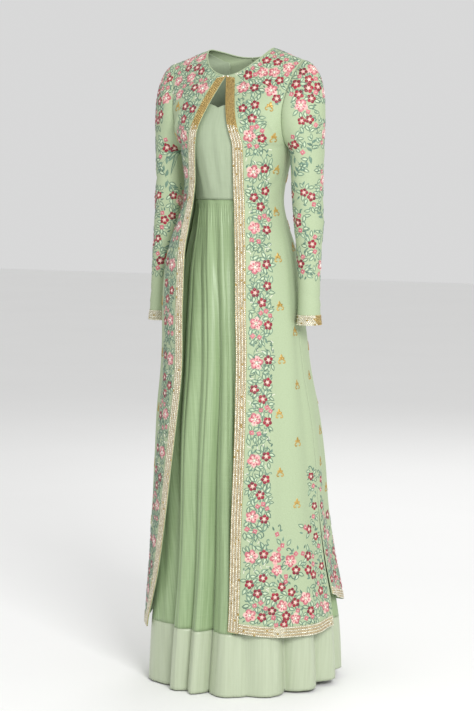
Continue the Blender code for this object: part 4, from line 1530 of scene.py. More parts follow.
    def seeds(self, at: Place, turn: float) -> None:
        """Three pale sequins in a row."""
        for index in range(3):
            self.stitch(Thread.PALE, dot_shape(0.0011, 0.0009, 6), self.spot(at, turn, 0.0, 0.0026 * index), 0.0)

    def point(self, at: Place) -> Array:
        """The point in space of a place."""
        return self.cloth.place(np.array([at[0]]), np.array([at[1]]))[0]

    def room(self, motif: Motif, size: float) -> float:
        """Radius of the room that a motif keeps."""
        return size * (self.leaf_room if motif in LEAFY else self.flower_room)

    def free(self, at: Place, radius: float) -> bool:
        """Whether a place lies on the sheet and clear of what is stitched already.

        Args:
            at: The place.
            radius: The room that is needed.

        Returns:
            True if it does.
        """
        away = np.linalg.norm(self.rooms[:, :3] - self.point(at), axis=1)
        gaps = away - self.clearance * (self.rooms[:, 3] + radius)
        return bool((gaps > 0.0).all()) and self.cloth.holds(at, radius + 0.001)

    def from_flower(self, at: Place) -> Place:
        """How far a place is from the nearest flower, and the direction away from it.

        Args:
            at: The place.

        Returns:
            The true distance, and the direction in degrees.
        """
        if not len(self.flowers):
            return 1.0, 0.0
        gaps = np.linalg.norm(self.flowers[:, 2:] - self.point(at), axis=1)
        nearest = int(np.argmin(gaps))
        true = np.linalg.inv(self.cloth.flatten(*at)) @ (np.array(at) - self.flowers[nearest, :2])
        return float(gaps[nearest]), math.degrees(math.atan2(-true[0], true[1]))

    def sow(self, motif: Motif, size: float, at: Place, turn: float) -> None:
        """Stitch a motif and keep its room.

        Args:
            motif: Which motif.
            size: Its width or length.
            at: Its middle.
            turn: How far it is turned.
        """
        leafy = motif in LEAFY
        self.rooms = np.vstack([self.rooms, [*self.point(at), self.room(motif, size)]])
        if leafy:
            at = self.spot(at, turn, 0.0, -size / 2)
        elif motif is not Motif.BUTI:
            self.flowers = np.vstack([self.flowers, [*at, *self.point(at)]])
        if motif is Motif.SEED:
            self.seeds(at, turn)
        elif motif in (Motif.LEAF, Motif.OPEN_LEAF):
            self.leaf(at, size, turn, motif is Motif.OPEN_LEAF)
        else:
            makers = {
                Motif.ROSE: self.rose,
                Motif.RING_FLOWER: self.ring_flower,
                Motif.BLOSSOM: self.blossom,
                Motif.CURL: self.curl,
                Motif.BUTI: self.buti,
            }
            makers[motif](at, size, turn)

    def scatter(self, inside: Region, box: tuple[float, float, float, float], kinds: Motifs) -> None:
        """Fill a region of the sheet, the largest motifs first; leaves keep near flowers and grow away from them.

        Args:
            inside: Says whether a place across and down, at a point in space, is in the region.
            box: The region's least and greatest distances across and down.
            kinds: For each motif its size and how many tries it has for each square decimetre.
        """
        area = (box[1] - box[0]) * (box[3] - box[2]) * 100.0
        for motif, size, tries in kinds:
            leafy = motif in LEAFY
            for _ in range(round(tries * area)):
                at = (float(self.random.uniform(box[0], box[1])), float(self.random.uniform(box[2], box[3])))
                if not inside(*at, self.point(at)) or not self.free(at, self.room(motif, size)):
                    continue
                turn = float(self.random.uniform(0.0, 360.0))
                if leafy:
                    away, turn = self.from_flower(at)
                    if away > self.cling:
                        continue
                    turn += float(self.random.normal(0.0, self.leaf_sway))
                self.sow(motif, size * float(self.random.uniform(0.92, 1.08)), at, turn)

    def build(self, slot: str) -> None:
        """Make one piece for each thread.

        Args:
            slot: The record's material slot.
        """
        for thread, shapes in self.shapes.items():
            flat = np.vstack([np.column_stack([where, heights]) for where, heights, _, _, _ in shapes])
            lay = np.vstack([np.column_stack([lay, np.full(len(lay), tone)]) for _, _, _, lay, tone in shapes])
            starts = np.cumsum([0] + [len(shape[0]) for shape in shapes[:-1]])
            faces = np.vstack([shape[2] + start for shape, start in zip(shapes, starts)])
            solid = self.cloth.place(flat[:, 0], flat[:, 1], self.base + flat[:, 2])
            corners = [list(dict.fromkeys(face)) for face in faces.tolist()]
            piece = mesh_object(f"{self.name}_{thread.value}", solid, corners, self.threads[thread])
            keep_threads(piece, lay[:, :2], lay[:, 2])
            self.pieces.add(piece, slot)


# ---------------------------------------------------------------- beaded bands


class BeadRun(Enum):
    """How a stretch of a beaded band is filled."""

    GOLD = "fine gold ribs"
    # Silvery stretches: the beads are painted whiter where they caught the light, a painted reflection.
    SILVER = "silver sequins"
    CREAM = "cream sequin rows with champagne beads between them"


Runs = tuple[tuple[float, BeadRun], ...]
Line = Callable[[float, Array], tuple[Array, Array]]


@dataclass
class Beading:
    """The beaded bands: a thin ground strip with rows of bugle beads and sequins sewn on."""

    pieces: Pieces
    ground: bpy.types.Material
    finishes: dict[str, bpy.types.Material]
    width: float = 0.022
    seed: int = 11
    strip_wall: float = 0.0005
    strip_lift: float = 0.0011
    bead_lift: float = 0.0016
    rows: int = 7
    first_row: float = 0.0018
    pitch: float = 0.00307
    run_blur: float = 0.0045
    spacing: float = 0.0046
    length: float = 0.0045
    radius: float = 0.00155
    # Radius of the beads in gold ribs, and in the wide and the narrow rows of the other runs.
    gold_radius: float = 0.87
    wide_radius: float = 1.12
    narrow_radius: float = 0.78
    bead_height: float = 0.72
    bead_tilt: float = 0.12
    bead_shoulder: float = 0.16
    bead_tip: float = 0.55
    # Share of stray gold beads among the silver and the cream ones.
    stray_silver: float = 0.06
    stray_cream: float = 0.03
    waver: float = 0.00010
    cord_pitch: float = 0.0062
    cord_bead: float = 0.0061
    cord_radius: float = 0.0007
    pearl_radius: float = 0.0026
    hem_columns: int = 60
    cuff_columns: int = 48
    # Below the bust the band's sequins are painted cream and silvery: partly their own cream, partly a painted
    # reflection.
    edge_runs: Runs = ((0.0, BeadRun.GOLD), (0.128, BeadRun.CREAM))
    # Shares of the way round the wrist.
    # The silvery stretch over the front of the wrist is a painted reflection.
    cuff_runs: Runs = ((0.0, BeadRun.GOLD), (0.10, BeadRun.SILVER), (0.42, BeadRun.GOLD))
    random: np.random.Generator = field(init=False)

    def __post_init__(self) -> None:
        """Seed the small unevenness of hand beading."""
        self.random = np.random.default_rng(self.seed)

    def strip(self, name: str, cloth: Cloth, across: Array, down: Array, closed: bool = False) -> None:
        """Make the ground strip.

        Args:
            name: The piece's name, after the node it stands for.
            cloth: What it is sewn to.
            across: Metres across, one row for each row of points.
            down: Metres down, of the same shape.
            closed: True if the strip goes right round.
        """
        rows, columns = across.shape
        points = cloth.place(across.ravel(), down.ravel(), self.strip_lift)
        piece = mesh_object(name, points, grid_faces(rows, columns, closed), self.ground)
        keep_threads(piece, np.stack([across.ravel(), down.ravel()], axis=1))
        thicken(piece, "strip wall", self.strip_wall)
        self.pieces.add(piece, "gold_beading", name.removesuffix("_ground"))

    def beads(self, name: str, cloth: Cloth, places: Array, radius: Array, flat: float, finish: str) -> None:
        """Make short beads, each from one place on a sheet to another.

        Args:
            name: The piece's name.
            cloth: What they are sewn to.
            places: For each bead, metres across and down of its start and of its end.
            radius: Half the width of each.
            flat: How high a bead stands as a share of its width.
            finish: Name of what they are made of.
        """
        if not len(places):
            return
        first = cloth.place(places[:, 0], places[:, 1], self.bead_lift)
        last = cloth.place(places[:, 2], places[:, 3], self.bead_lift)
        above = cloth.place(places[:, 0], places[:, 1], self.bead_lift + 0.001) - first
        along = unit(last - first)
        out = unit(above - along * np.sum(above * along, axis=1, keepdims=True))
        side = np.cross(along, out)
        tilt = self.random.normal(0.0, self.bead_tilt, len(first))[:, None]
        out, side = out + side * tilt, side - out * tilt
        turns = np.arange(4) * np.pi / 2
        ring = out[:, None] * np.sin(turns)[None, :, None] * flat + side[:, None] * np.cos(turns)[None, :, None]
        ring = ring * radius[:, None, None]
        inset = (last - first)[:, None] * self.bead_shoulder
        ends = (first[:, None] + ring * self.bead_tip, first[:, None] + inset + ring)
        points = np.concatenate((*ends, last[:, None] - inset + ring, last[:, None] + ring * self.bead_tip), axis=1)
        loop = np.arange(4)
        after = (loop + 1) % 4
        wall = np.stack([loop, 4 + loop, 4 + after, after], axis=1)
        walls = [wall + 4 * step for step in range(3)]
        faces = np.vstack([*walls, [[0, 1, 2, 3], [15, 14, 13, 12]]])
        faces = (faces[None] + (np.arange(len(first)) * 16)[:, None, None]).reshape(-1, 4)
        piece = mesh_object(name, points.reshape(-1, 3), faces, self.finishes[finish])
        tones = np.repeat(self.random.uniform(0.0, 1.0, len(first)), 16)
        keep_threads(piece, np.zeros((len(tones), 2)), tones)
        self.pieces.add(piece, "gold_beading")

    def cover(self, name: str, cloth: Cloth, line: Line, length: float, runs: Runs) -> None:
        """Sew rows of beads along a band.

        Args:
            name: Start of the pieces' names.
            cloth: What they are sewn to.
            line: Turns a distance across the band and distances along it into places on the sheet.
            length: The band's length.
            runs: Where along the band each stretch starts, and how it is filled.
        """
        found: dict[str, list[Array]] = {"gold": [], "silver": [], "champagne": []}
        sizes: dict[str, list[Array]] = {"gold": [], "silver": [], "champagne": []}
        starts = np.array([start for start, _ in runs])
        for row in range(self.rows):
            wide = row % 2 == 0
            along = np.arange(self.spacing * (0.6 if wide else 1.0), length - self.spacing * 0.4, self.spacing)
            off = self.first_row + self.pitch * row
            x0, y0 = line(off, along - self.length / 2)
            x1, y1 = line(off, along + self.length / 2)
            beads = np.stack([x0, y0, x1, y1], axis=1)
            beads[:, 0::2] += self.random.normal(0.0, self.waver, (len(beads), 1))
            blurred = along + self.random.normal(0.0, self.run_blur, len(along))
            run = np.maximum(np.searchsorted(starts, blurred, side="right") - 1, 0)
            stray = self.random.uniform(0.0, 1.0, len(along))
            kinds = np.full(len(along), "gold")
            filled = np.array([runs[number][1].name for number in run])
            # Silvery beads: partly the sequins' own cream, partly a painted reflection where they caught the light.
            kinds = np.where((filled == "SILVER") & (stray > self.stray_silver), "silver", kinds)
            cream = "silver" if wide else "champagne"
            kinds = np.where((filled == "CREAM") & (stray > self.stray_cream), cream, kinds)
            row_radius = self.wide_radius if wide else self.narrow_radius
            radius = self.radius * np.where(filled != "GOLD", row_radius, self.gold_radius)
            for kind in found:
                found[kind].append(beads[kinds == kind])
                sizes[kind].append(radius[kinds == kind])
        for kind, beads in found.items():
            radius = np.concatenate(sizes[kind])
            self.beads(f"{name}_{kind}_beads", cloth, np.vstack(beads), radius, self.bead_height, kind)

    def edge_band(self, name: str, cloth: Cloth, neck_row: int) -> None:
        """Make the band down a front edge, with its edging cords and its pearl at the neck.

        Args:
            name: Left or right.
            cloth: The front.
            neck_row: The row where the neckline meets the front edge.
        """
        top, bottom = float(cloth.down[neck_row]), float(cloth.down[-1])
        down = np.repeat(cloth.down[neck_row:, None], 5, axis=1)
        across = np.repeat(np.linspace(0.0003, self.width, 5)[None, :], len(down), axis=0)
        self.strip(f"jacket_edge_band_{name}_ground", cloth, across, down)

        def line(off: float, along: Array) -> tuple[Array, Array]:
            """Places down the front edge."""
            return np.full(len(along), off), top + along

        self.cover(f"jacket_edge_band_{name}", cloth, line, bottom - top, self.edge_runs)
        for place, edge in (("outer", 0.0004), ("inner", self.width - 0.0002)):
            along = np.arange(top + 0.001, bottom - 0.001, self.cord_pitch)
            across = np.full(len(along), edge)
            cord = np.stack([across, along, across, along + self.cord_bead], axis=1)
            radius = np.full(len(along), self.cord_radius)
            self.beads(f"jacket_{place}_cord_{name}", cloth, cord, radius, 1.0, "gold")
        pearl = np.array([[0.004, top - 0.0022, 0.004, top + 0.0026]])
        self.beads(f"jacket_neck_pearl_{name}", cloth, pearl, np.array([self.pearl_radius]), 1.0, "pearl")

    def level_band(self, name: str, cloth: Cloth, shares: Array, length: float, runs: Runs) -> None:
        """Make a band level with a sheet's lower edge.

        Args:
            name: Start of the pieces' names.
            cloth: What it is sewn to.
            shares: Shares of the way across of the ground strip's columns.
            length: The band's length.
            runs: Where along the band each stretch starts, and how it is filled.
        """
        bottom, full = float(cloth.down[-1]), float(cloth.widths[-1])
        down = np.repeat(np.linspace(bottom - self.width, bottom, 5)[:, None], len(shares), axis=1)
        widths = np.interp(down, cloth.down, cloth.widths)
        self.strip(f"{name}_ground", cloth, (shares[None, :] - cloth.zero) * widths, down, cloth.closed)

        def line(off: float, along: Array) -> tuple[Array, Array]:
            """Places along the lower edge."""
            level = bottom - self.width + off
            share = shares[0] + along / full - cloth.zero
            return share * np.interp(level, cloth.down, cloth.widths), np.full(len(along), level)

        self.cover(name, cloth, line, length, runs)

    def hem_band(self, name: str, cloth: Cloth, start: float, end: float, runs: Runs) -> None:
        """Make the band along a hem."""
        length = (end - start) * float(cloth.widths[-1])
        self.level_band(f"jacket_hem_band_{name}", cloth, np.linspace(start, end, self.hem_columns), length, runs)

    def cuff(self, name: str, cloth: Cloth) -> None:
        """Make the band round a cuff: silvery over the front of the wrist, a painted reflection of the light, and
        gold round the rest.

        Args:
            name: Left or right.
            cloth: The sleeve.
        """
        around = float(cloth.widths[-1])
        turns = np.linspace(0.0, 1.0, self.cuff_columns + 1)[:-1]
        runs = tuple((share * around, run) for share, run in self.cuff_runs)
        self.level_band(f"jacket_cuff_{name}", cloth, turns, around, runs)


# ---------------------------------------------------------------- the embroidery's layout


@dataclass
class Embroidery:
    """Where the motifs lie: yoke, front borders, sleeve sprays, hem and slit borders and scattered gold sprigs."""

    pieces: Pieces
    threads: dict[Thread, bpy.types.Material]
    border_start: float = 0.0245
    border_width: float = 0.060
    repeat: float = 0.206
    yoke_depth: float = 0.073
    sprig: float = 0.0220
    sprig_step: float = 0.077
    cell: tuple[tuple[Motif, float, float, float, float], ...] = (
        (Motif.ROSE, 0.0325, 0.0200, 0.018, 10.0), (Motif.RING_FLOWER, 0.0200, 0.0465, 0.012, 0.0),
        (Motif.RING_FLOWER, 0.0195, 0.0465, 0.060, 15.0), (Motif.RING_FLOWER, 0.0195, 0.0180, 0.074, 30.0),
        (Motif.RING_FLOWER, 0.0200, 0.0350, 0.094, 25.0), (Motif.BLOSSOM, 0.0125, 0.0430, 0.113, 0.0),
        (Motif.BLOSSOM, 0.0115, 0.0310, 0.118, 30.0), (Motif.BLOSSOM, 0.0115, 0.0530, 0.122, 60.0),
        (Motif.ROSE, 0.0300, 0.0200, 0.139, 50.0), (Motif.RING_FLOWER, 0.0200, 0.0465, 0.143, 40.0),
        (Motif.BLOSSOM, 0.0125, 0.0120, 0.166, 20.0), (Motif.BLOSSOM, 0.0120, 0.0275, 0.168, 10.0),
        (Motif.CURL, 0.0190, 0.0480, 0.174, 160.0), (Motif.CURL, 0.0170, 0.0200, 0.190, 20.0),
        (Motif.CURL, 0.0170, 0.0140, 0.047, 190.0), (Motif.CURL, 0.0170, 0.0520, 0.192, -20.0),
    )
    filling: Motifs = (
        (Motif.OPEN_LEAF, 0.0150, 300.0), (Motif.CURL, 0.0140, 120.0), (Motif.OPEN_LEAF, 0.0120, 520.0),
        (Motif.LEAF, 0.0085, 760.0), (Motif.SEED, 0.0045, 60.0),
    )
    flowers: Motifs = (
        (Motif.ROSE, 0.0290, 9.0), (Motif.RING_FLOWER, 0.0200, 22.0), (Motif.BLOSSOM, 0.0120, 26.0),
        (Motif.RING_FLOWER, 0.0185, 14.0),
    )
    hem_flowers: Motifs = (
        (Motif.ROSE, 0.0290, 5.0), (Motif.RING_FLOWER, 0.0200, 16.0), (Motif.BLOSSOM, 0.0125, 14.0),
    )
    hem_leaves: Motifs = (
        (Motif.CURL, 0.0190, 60.0), (Motif.OPEN_LEAF, 0.0150, 150.0), (Motif.LEAF, 0.0105, 110.0),
    )
    # Motifs that take turns beside a slit: size, and how far each is turned.
    slit_line: Motifs = (
        (Motif.CURL, 0.020, 180.0), (Motif.RING_FLOWER, 0.017, 0.0), (Motif.BLOSSOM, 0.012, 0.0),
    )
    slit_leaves: Motifs = ((Motif.OPEN_LEAF, 0.0130, 110.0), (Motif.LEAF, 0.0095, 110.0))
    group_leaves: Motifs = (
        (Motif.OPEN_LEAF, 0.0135, 150.0), (Motif.CURL, 0.0150, 30.0), (Motif.LEAF, 0.0090, 170.0),
    )
    # The hem border is dense up to one height; sprays above it thin out, up to another.
    dense_height: float = 0.062
    spray_height: float = 0.205
    thin_from: float = 0.070
    thin_over: float = 0.085
    hem_clear: float = 0.003
    side_ease: float = 0.004
    slit_inset: float = 0.017
    slit_step: float = 0.0215
    sprig_stop: float = 0.200
    sprig_across: float = 0.090
    # First and last of the sleeve's rows of groups, and the step between them.
    group_rows: tuple[float, float, float] = (0.128, 0.470, 0.047)

    def border(self, work: Needlework, start: float, end: float) -> None:
        """Stitch the repeating border beside a front edge.

        Args:
            work: The front's needlework.
            start: Metres down where it starts.
            end: Metres down where it ends.
        """
        inner, outer = self.border_start, self.border_start + self.border_width
        for phase, reach in ((0.0, 0.013), (math.pi, 0.016)):
            downs = np.arange(start + 0.004, end - 0.004, 0.013)
            middle = (inner + outer) / 2
            turns = [math.sin(4 * math.pi * down / self.repeat + phase) for down in downs]
            waves = middle + reach * np.array(turns)
            work.stem(list(zip(waves.tolist(), downs.tolist())))
        for index, top in enumerate(np.arange(start, end, self.repeat)):
            for motif, size, across, along, turn in self.cell:
                jitter = work.random.normal(0.0, 0.0008, 2)
                at = (inner + across + float(jitter[0]), float(top) + along + float(jitter[1]))
                if at[1] + size / 2 < end and work.free(at, size * 0.30):
                    work.sow(motif, size, at, turn + 36.0 * index)

        def beside_edge(across: float, along: float, point: Array) -> bool:
            """Whether a place is in the border, whose far side waves."""
            wave = 0.003 * math.sin(4 * math.pi * along / self.repeat)
            return inner + 0.0045 < across < outer - 0.002 + wave and start < along < end - 0.004

        work.scatter(beside_edge, (inner, outer + 0.004, start, end), self.filling)

    def front(self, jacket: Jacket, name: str, side: Side) -> None:
        """Embroider a front.

        Args:
            jacket: The jacket.
            name: Left or right.
            side: Which side of the wearer it is on.
        """
        cloth = jacket.sheets[f"front_{name}"]
        work = Needlework(f"embroidery_front_{name}", cloth, self.pieces, self.threads, 21 + side.value)
        neck = float(cloth.down[jacket.neck_rows[name]])
        bottom = float(cloth.down[-1]) - jacket.band_width
        outer = self.border_start + self.border_width
        self.border(work, neck + 0.004, bottom - 0.002)

        def in_yoke(across: float, along: float, point: Array) -> bool:
            """Whether a place is on the yoke and clear of the edge band."""
            clear_of_band = along < neck - 0.003 or across > self.border_start + 0.003
            return bool(point[2] > self.yoke_edge(point) and clear_of_band and across > 0.003)

        widest = float(cloth.widths[: jacket.neck_rows[name] + 8].max())
        work.scatter(in_yoke, (0.003, widest, 0.003, neck + 0.11), self.flowers + self.filling)
        self.slit_border(work, cloth, (1.0,), float(cloth.down[-1]) - jacket.slit_top + 0.14, bottom)
        self.hem_border(work, outer, float(cloth.widths[-1]), bottom)
        self.sprigs(work, cloth, outer + 0.016, neck + 0.060, bottom - self.sprig_stop)
        work.build("jacket_crepe")

    def yoke_edge(self, point: Array) -> float:
        """Height of the yoke's lower edge: level, and lower beside the sleeve."""
        reach = 0.034 * float(smooth(np.array((abs(point[0]) - 0.112) / 0.03)))
        return FORM.shoulder_height - self.yoke_depth - reach + 0.004 * math.sin(140.0 * float(point[0]))

    def hem_border(self, work: Needlework, first: float, last: float, bottom: float) -> None:
        """Stitch the border above a hem: dense at the hem, with sprays that thin out above it.

        Args:
            work: The panel's needlework.
            first: Metres across where it starts.
            last: Metres across where it ends.
            bottom: Metres down of the beaded band's upper edge.
        """

        def above_hem(across: float, along: float, point: Array) -> bool:
            """Whether a spray may stand here: the higher up, the fewer."""
            height = bottom - along
            chance = math.exp(-((max(height - self.thin_from, 0.0) / self.thin_over) ** 2.0))
            return bool(height > 0.004 and across > near and work.random.uniform() < chance)

        def near_hem(across: float, along: float, point: Array) -> bool:
            """Whether a place is in the dense part of the border."""
            return dense < along < low and across > near

        near, low, dense = first - self.side_ease, bottom - self.hem_clear, bottom - self.dense_height
        sprays = (near, last, bottom - self.spray_height, low)
        work.scatter(near_hem, (near, last, dense, low), self.flowers)
        work.scatter(above_hem, sprays, self.hem_flowers)
        work.scatter(near_hem, (near, last, dense, low), self.filling)
        work.scatter(above_hem, sprays, self.hem_leaves)

    def slit_border(
        self, work: Needlework, cloth: Cloth, sides: tuple[float, ...], slit: float, bottom: float
    ) -> None:
        """Stitch an upright line of flowers and curls beside a side slit.

        Args:
            work: The panel's needlework.
            cloth: The panel.
            sides: 1 for the side of greater distances across, -1 for the other.
            slit: Metres down of the slit's top.
            bottom: Metres down where the line ends.
        """
        for side in sides:

            def line(down: float) -> float:
                """Metres across of the line's middle."""
                width = float(np.interp(down, cloth.down, cloth.widths))
                return (width * (1.0 - cloth.zero) - self.slit_inset) * side

            for index, down in enumerate(np.arange(slit - 0.052, bottom - 0.045, self.slit_step)):
                motif, size, turn = self.slit_line[index % 3]
                at = (line(float(down)) + 0.003 * side * (-1) ** index, float(down))
                if work.free(at, size * 0.3):
                    work.sow(motif, size, at, turn + float(work.random.normal(0.0, 12.0)))

            def beside(across: float, along: float, point: Array) -> bool:
                """Whether a place is near the line."""
                return abs(across - line(along)) < 0.013

            ends = sorted((line(slit) - 0.03 * side, line(bottom) + 0.014 * side))
            work.scatter(beside, (ends[0], ends[1], slit - 0.050, bottom - 0.010), self.slit_leaves)

    def sprigs(self, work: Needlework, cloth: Cloth, first: float, top: float, bottom: float) -> None:
        """Stitch gold sprigs in staggered rows over the plain ground of a panel.

        Args:
            work: The panel's needlework.
            cloth: The panel.
            first: Metres across from which the ground is plain.
            top: Metres down where they start.
            bottom: Metres down where they end.
        """
        steps = np.linspace(self.sprig_step / 2, self.sprig_step, 24)
        downs = top + np.concatenate(([0.0], np.cumsum(steps)))
        for index, down in enumerate(downs[downs < bottom]):
            width = float(np.interp(down, cloth.down, cloth.widths)) * (1.0 - cloth.zero)
            start = first + (self.sprig_across / 2 if index % 2 else 0.0)
            for across in np.arange(start, width - 0.010, self.sprig_across):
                jitter = work.random.normal(0.0, 0.0016, 2)
                at = (float(across + jitter[0]), float(down + jitter[1]))
                if work.free(at, 0.0105):
                    work.sow(Motif.BUTI, self.sprig, at, float(work.random.normal(0.0, 5.0)))

    def back(self, jacket: Jacket) -> None:
        """Embroider the back: yoke, hem and slit borders, and gold sprigs.

        Args:
            jacket: The jacket.
        """
        cloth = jacket.sheets["back"]
        work = Needlework("embroidery_back", cloth, self.pieces, self.threads, 31)
        bottom = float(cloth.down[-1]) - jacket.band_width
        widest = float(cloth.widths[:42].max()) / 2
        half = float(cloth.widths[-1]) / 2

        def in_yoke(across: float, along: float, point: Array) -> bool:
            """Whether a place is on the yoke."""
            return bool(point[2] > self.yoke_edge(point))

        work.scatter(in_yoke, (-widest, widest, 0.003, 0.18), self.flowers + self.filling)
        self.slit_border(work, cloth, (-1.0, 1.0), float(cloth.down[-1]) - jacket.slit_top + 0.155, bottom)
        self.hem_border(work, -half, half, bottom)
        self.sprigs(work, cloth, -half + 0.020, 0.130, bottom - self.sprig_stop)
        work.build("jacket_crepe")

    def sleeve(self, jacket: Jacket, name: str, side: Side) -> None:
        """Embroider a sleeve: dense at its head, then branches and flower groups down to the forearm.

        Args:
            jacket: The jacket.
            name: Left or right.
            side: Which side of the wearer it is on.
        """
        cloth = jacket.sheets[f"sleeve_{name}"]
        work = Needlework(f"embroidery_sleeve_{name}", cloth, self.pieces, self.threads, 41 + side.value)

        def on_head(across: float, along: float, point: Array) -> bool:
            """Whether a place is on the sleeve's head, which ends in a wave."""
            return bool(0.004 < along < 0.092 + 0.014 * math.cos(across * 45.0) and abs(across) < 0.098)

        work.scatter(on_head, (-0.100, 0.100, 0.004, 0.108), self.flowers + self.filling)
        for index, down in enumerate(np.arange(*self.group_rows)):
            around = float(np.interp(down, cloth.down, cloth.widths))
            for part in range(3):
                share = (part + 0.5 * (index % 2)) / 3.0 - 0.46
                at = (around * share, float(down + work.random.normal(0.0, 0.004)))
                self.group(work, at, index + part, 1 if (index + part) % 2 else -1)
        work.build("jacket_crepe")

    def group(self, work: Needlework, at: Place, kind: int, hand: int) -> None:
        """Stitch one group: a leafy branch, or flowers among leaves.

        Args:
            work: The needlework.
            at: The group's middle.
            kind: Number that chooses what it is made of.
            hand: 1 or -1, the side it leans to.
        """
        if kind % 3 == 0:
            for turn in (25.0 * hand, 200.0 * hand):
                work.branch(work.spot(at, turn, 0.0, 0.002), 0.040, turn)
            return
        main, size = ((Motif.ROSE, 0.0270), (Motif.RING_FLOWER, 0.0190))[kind % 2]
        if not work.free(at, size * 0.36):
            return
        work.sow(main, size, at, 17.0 * kind)
        for turn, reach, motif, width in (
            (118.0, 0.0225, Motif.RING_FLOWER, 0.0175), (-20.0, 0.0200, Motif.BLOSSOM, 0.0120),
            (200.0, 0.0190, Motif.BLOSSOM, 0.0115),
        ):
            place = work.spot(at, turn * hand, 0.0, reach * (1.0 if main is Motif.ROSE else 0.86))
            if work.free(place, width * 0.42):
                work.sow(motif, width, place, 11.0 * kind)

        def around(across: float, along: float, point: Array) -> bool:
            """Anywhere round the group."""
            return True

        box = (at[0] - 0.030, at[0] + 0.030, at[1] - 0.032, at[1] + 0.032)
        work.scatter(around, box, self.group_leaves)

    def build(self, jacket: Jacket) -> None:
        """Embroider the whole jacket.

        Args:
            jacket: The jacket.
        """
        for side in Side:
            self.front(jacket, side.name.lower(), side)
            self.sleeve(jacket, side.name.lower(), side)
        self.back(jacket)


# ---------------------------------------------------------------- finishes


def linear(hex_colour: str) -> tuple[float, float, float, float]:
    """Linear colour from an sRGB hex value.

    Args:
        hex_colour: Six hex digits.

    Returns:
        Red, green, blue and alpha for a shader.
    """
    channels = [int(hex_colour[i : i + 2], 16) / 255.0 for i in (0, 2, 4)]
    values = [c / 12.92 if c <= 0.04045 else ((c + 0.055) / 1.055) ** 2.4 for c in channels]
    return (*values, 1.0)


# Inputs of the nodes that map a range and that mix two colours.
RANGE = ("Value", "From Min", "From Max", "To Min", "To Max")
MIX = (0, 6, 7)


class Surface:
    """A material under construction: its node tree and its shader."""

    def __init__(self, name: str) -> None:
        """Start a material of that name."""
        self.material = bpy.data.materials.new(name)
        self.material.use_nodes = True
        self.tree = self.material.node_tree
        self.shader = self.tree.nodes["Principled BSDF"]

    def add_node(self, kind: str, inputs: dict[Any, Any], output: Any = 0, **settings: Any) -> bpy.types.NodeSocket:
        """Add a node with its settings and links.

        Args:
            kind: The node's type.
            inputs: For each input, a value or the output that feeds it.
            output: Which output to give back.
            settings: Properties of the node.

        Returns:
            The output.
        """
        node = self.tree.nodes.new("ShaderNode" + kind)
        for name, value in settings.items():
            setattr(node, name, value)
        self.feed(node, inputs)
        return node.outputs[output]

    def feed(self, node: bpy.types.Node, inputs: dict[Any, Any]) -> None:
        """Set a node's inputs.

        Args:
            node: The node.
            inputs: For each input, a value or the output that feeds it.
        """
        for name, value in inputs.items():
            if isinstance(value, bpy.types.NodeSocket):
                self.tree.links.new(value, node.inputs[name])
            else:
                node.inputs[name].default_value = value

    def finish(self, inputs: dict[str, Any]) -> bpy.types.Material:
        """Set the shader's inputs and give back the material."""
        self.feed(self.shader, inputs)
        return self.material


@dataclass(frozen=True)
class WovenFinish:
    """A woven cloth. Warp and weft show as fine streaks, drawn coarser than the real threads so that they show."""

    name: str
    deep: str
    body: str
    bright: str
    roughness: float
    sheen: float
    sheen_roughness: float
    sheen_tint: str
    warp: float
    weft: float
    streak: float
    weft_share: float
    bump: float
    specular: float = 0.4
    uneven: float = 0.06
    relief: float = 0.0004
    index: float = 1.50

    def make(self) -> bpy.types.Material:
        """Make the material."""
        surface = Surface(self.name)
        add = surface.add_node
        thread = add("Attribute", {}, "Vector", attribute_name="thread")
        warp_scale = (1.0 / self.warp, 1.0 / (self.warp * self.streak), 1.0)
        weft_scale = (1.0 / (self.weft * self.streak), 1.0 / self.weft, 1.0)
        warp, weft = (add("Mapping", {"Vector": thread, "Scale": scale}) for scale in (warp_scale, weft_scale))
        along, over, cloud = (
            add("TexNoise", {"Vector": where, "Scale": scale, "Detail": detail}, "Fac")
            for where, scale, detail in ((warp, 1.0, 3.0), (weft, 1.0, 3.0), (thread, 7.0, 2.0))
        )
        streaks = add("Math", {0: over, 1: self.weft_share, 2: along}, operation="MULTIPLY_ADD")
        full = 1.0 + self.weft_share
        light, patches, rough = (
            add("MapRange", dict(zip(RANGE, values)))
            for values in (
                (streaks, 0.36 * full, 0.64 * full, 0.0, 1.0), (cloud, 0.3, 0.7, 0.42, 0.62),
                (streaks, 0.35 * full, 0.65 * full, self.roughness + self.uneven, self.roughness - self.uneven),
            )
        )
        ground = add("Mix", dict(zip(MIX, (light, linear(self.deep), linear(self.bright)))), 2, data_type="RGBA")
        colour = add("Mix", dict(zip(MIX, (patches, ground, linear(self.body)))), 2, data_type="RGBA")
        normal = add("Bump", {"Strength": self.bump, "Distance": self.relief, "Height": streaks})
        return surface.finish({
            "Base Color": colour, "Roughness": rough, "Normal": normal, "IOR": self.index,
            "Specular IOR Level": self.specular, "Sheen Weight": self.sheen,
            "Sheen Roughness": self.sheen_roughness, "Sheen Tint": linear(self.sheen_tint),
        })


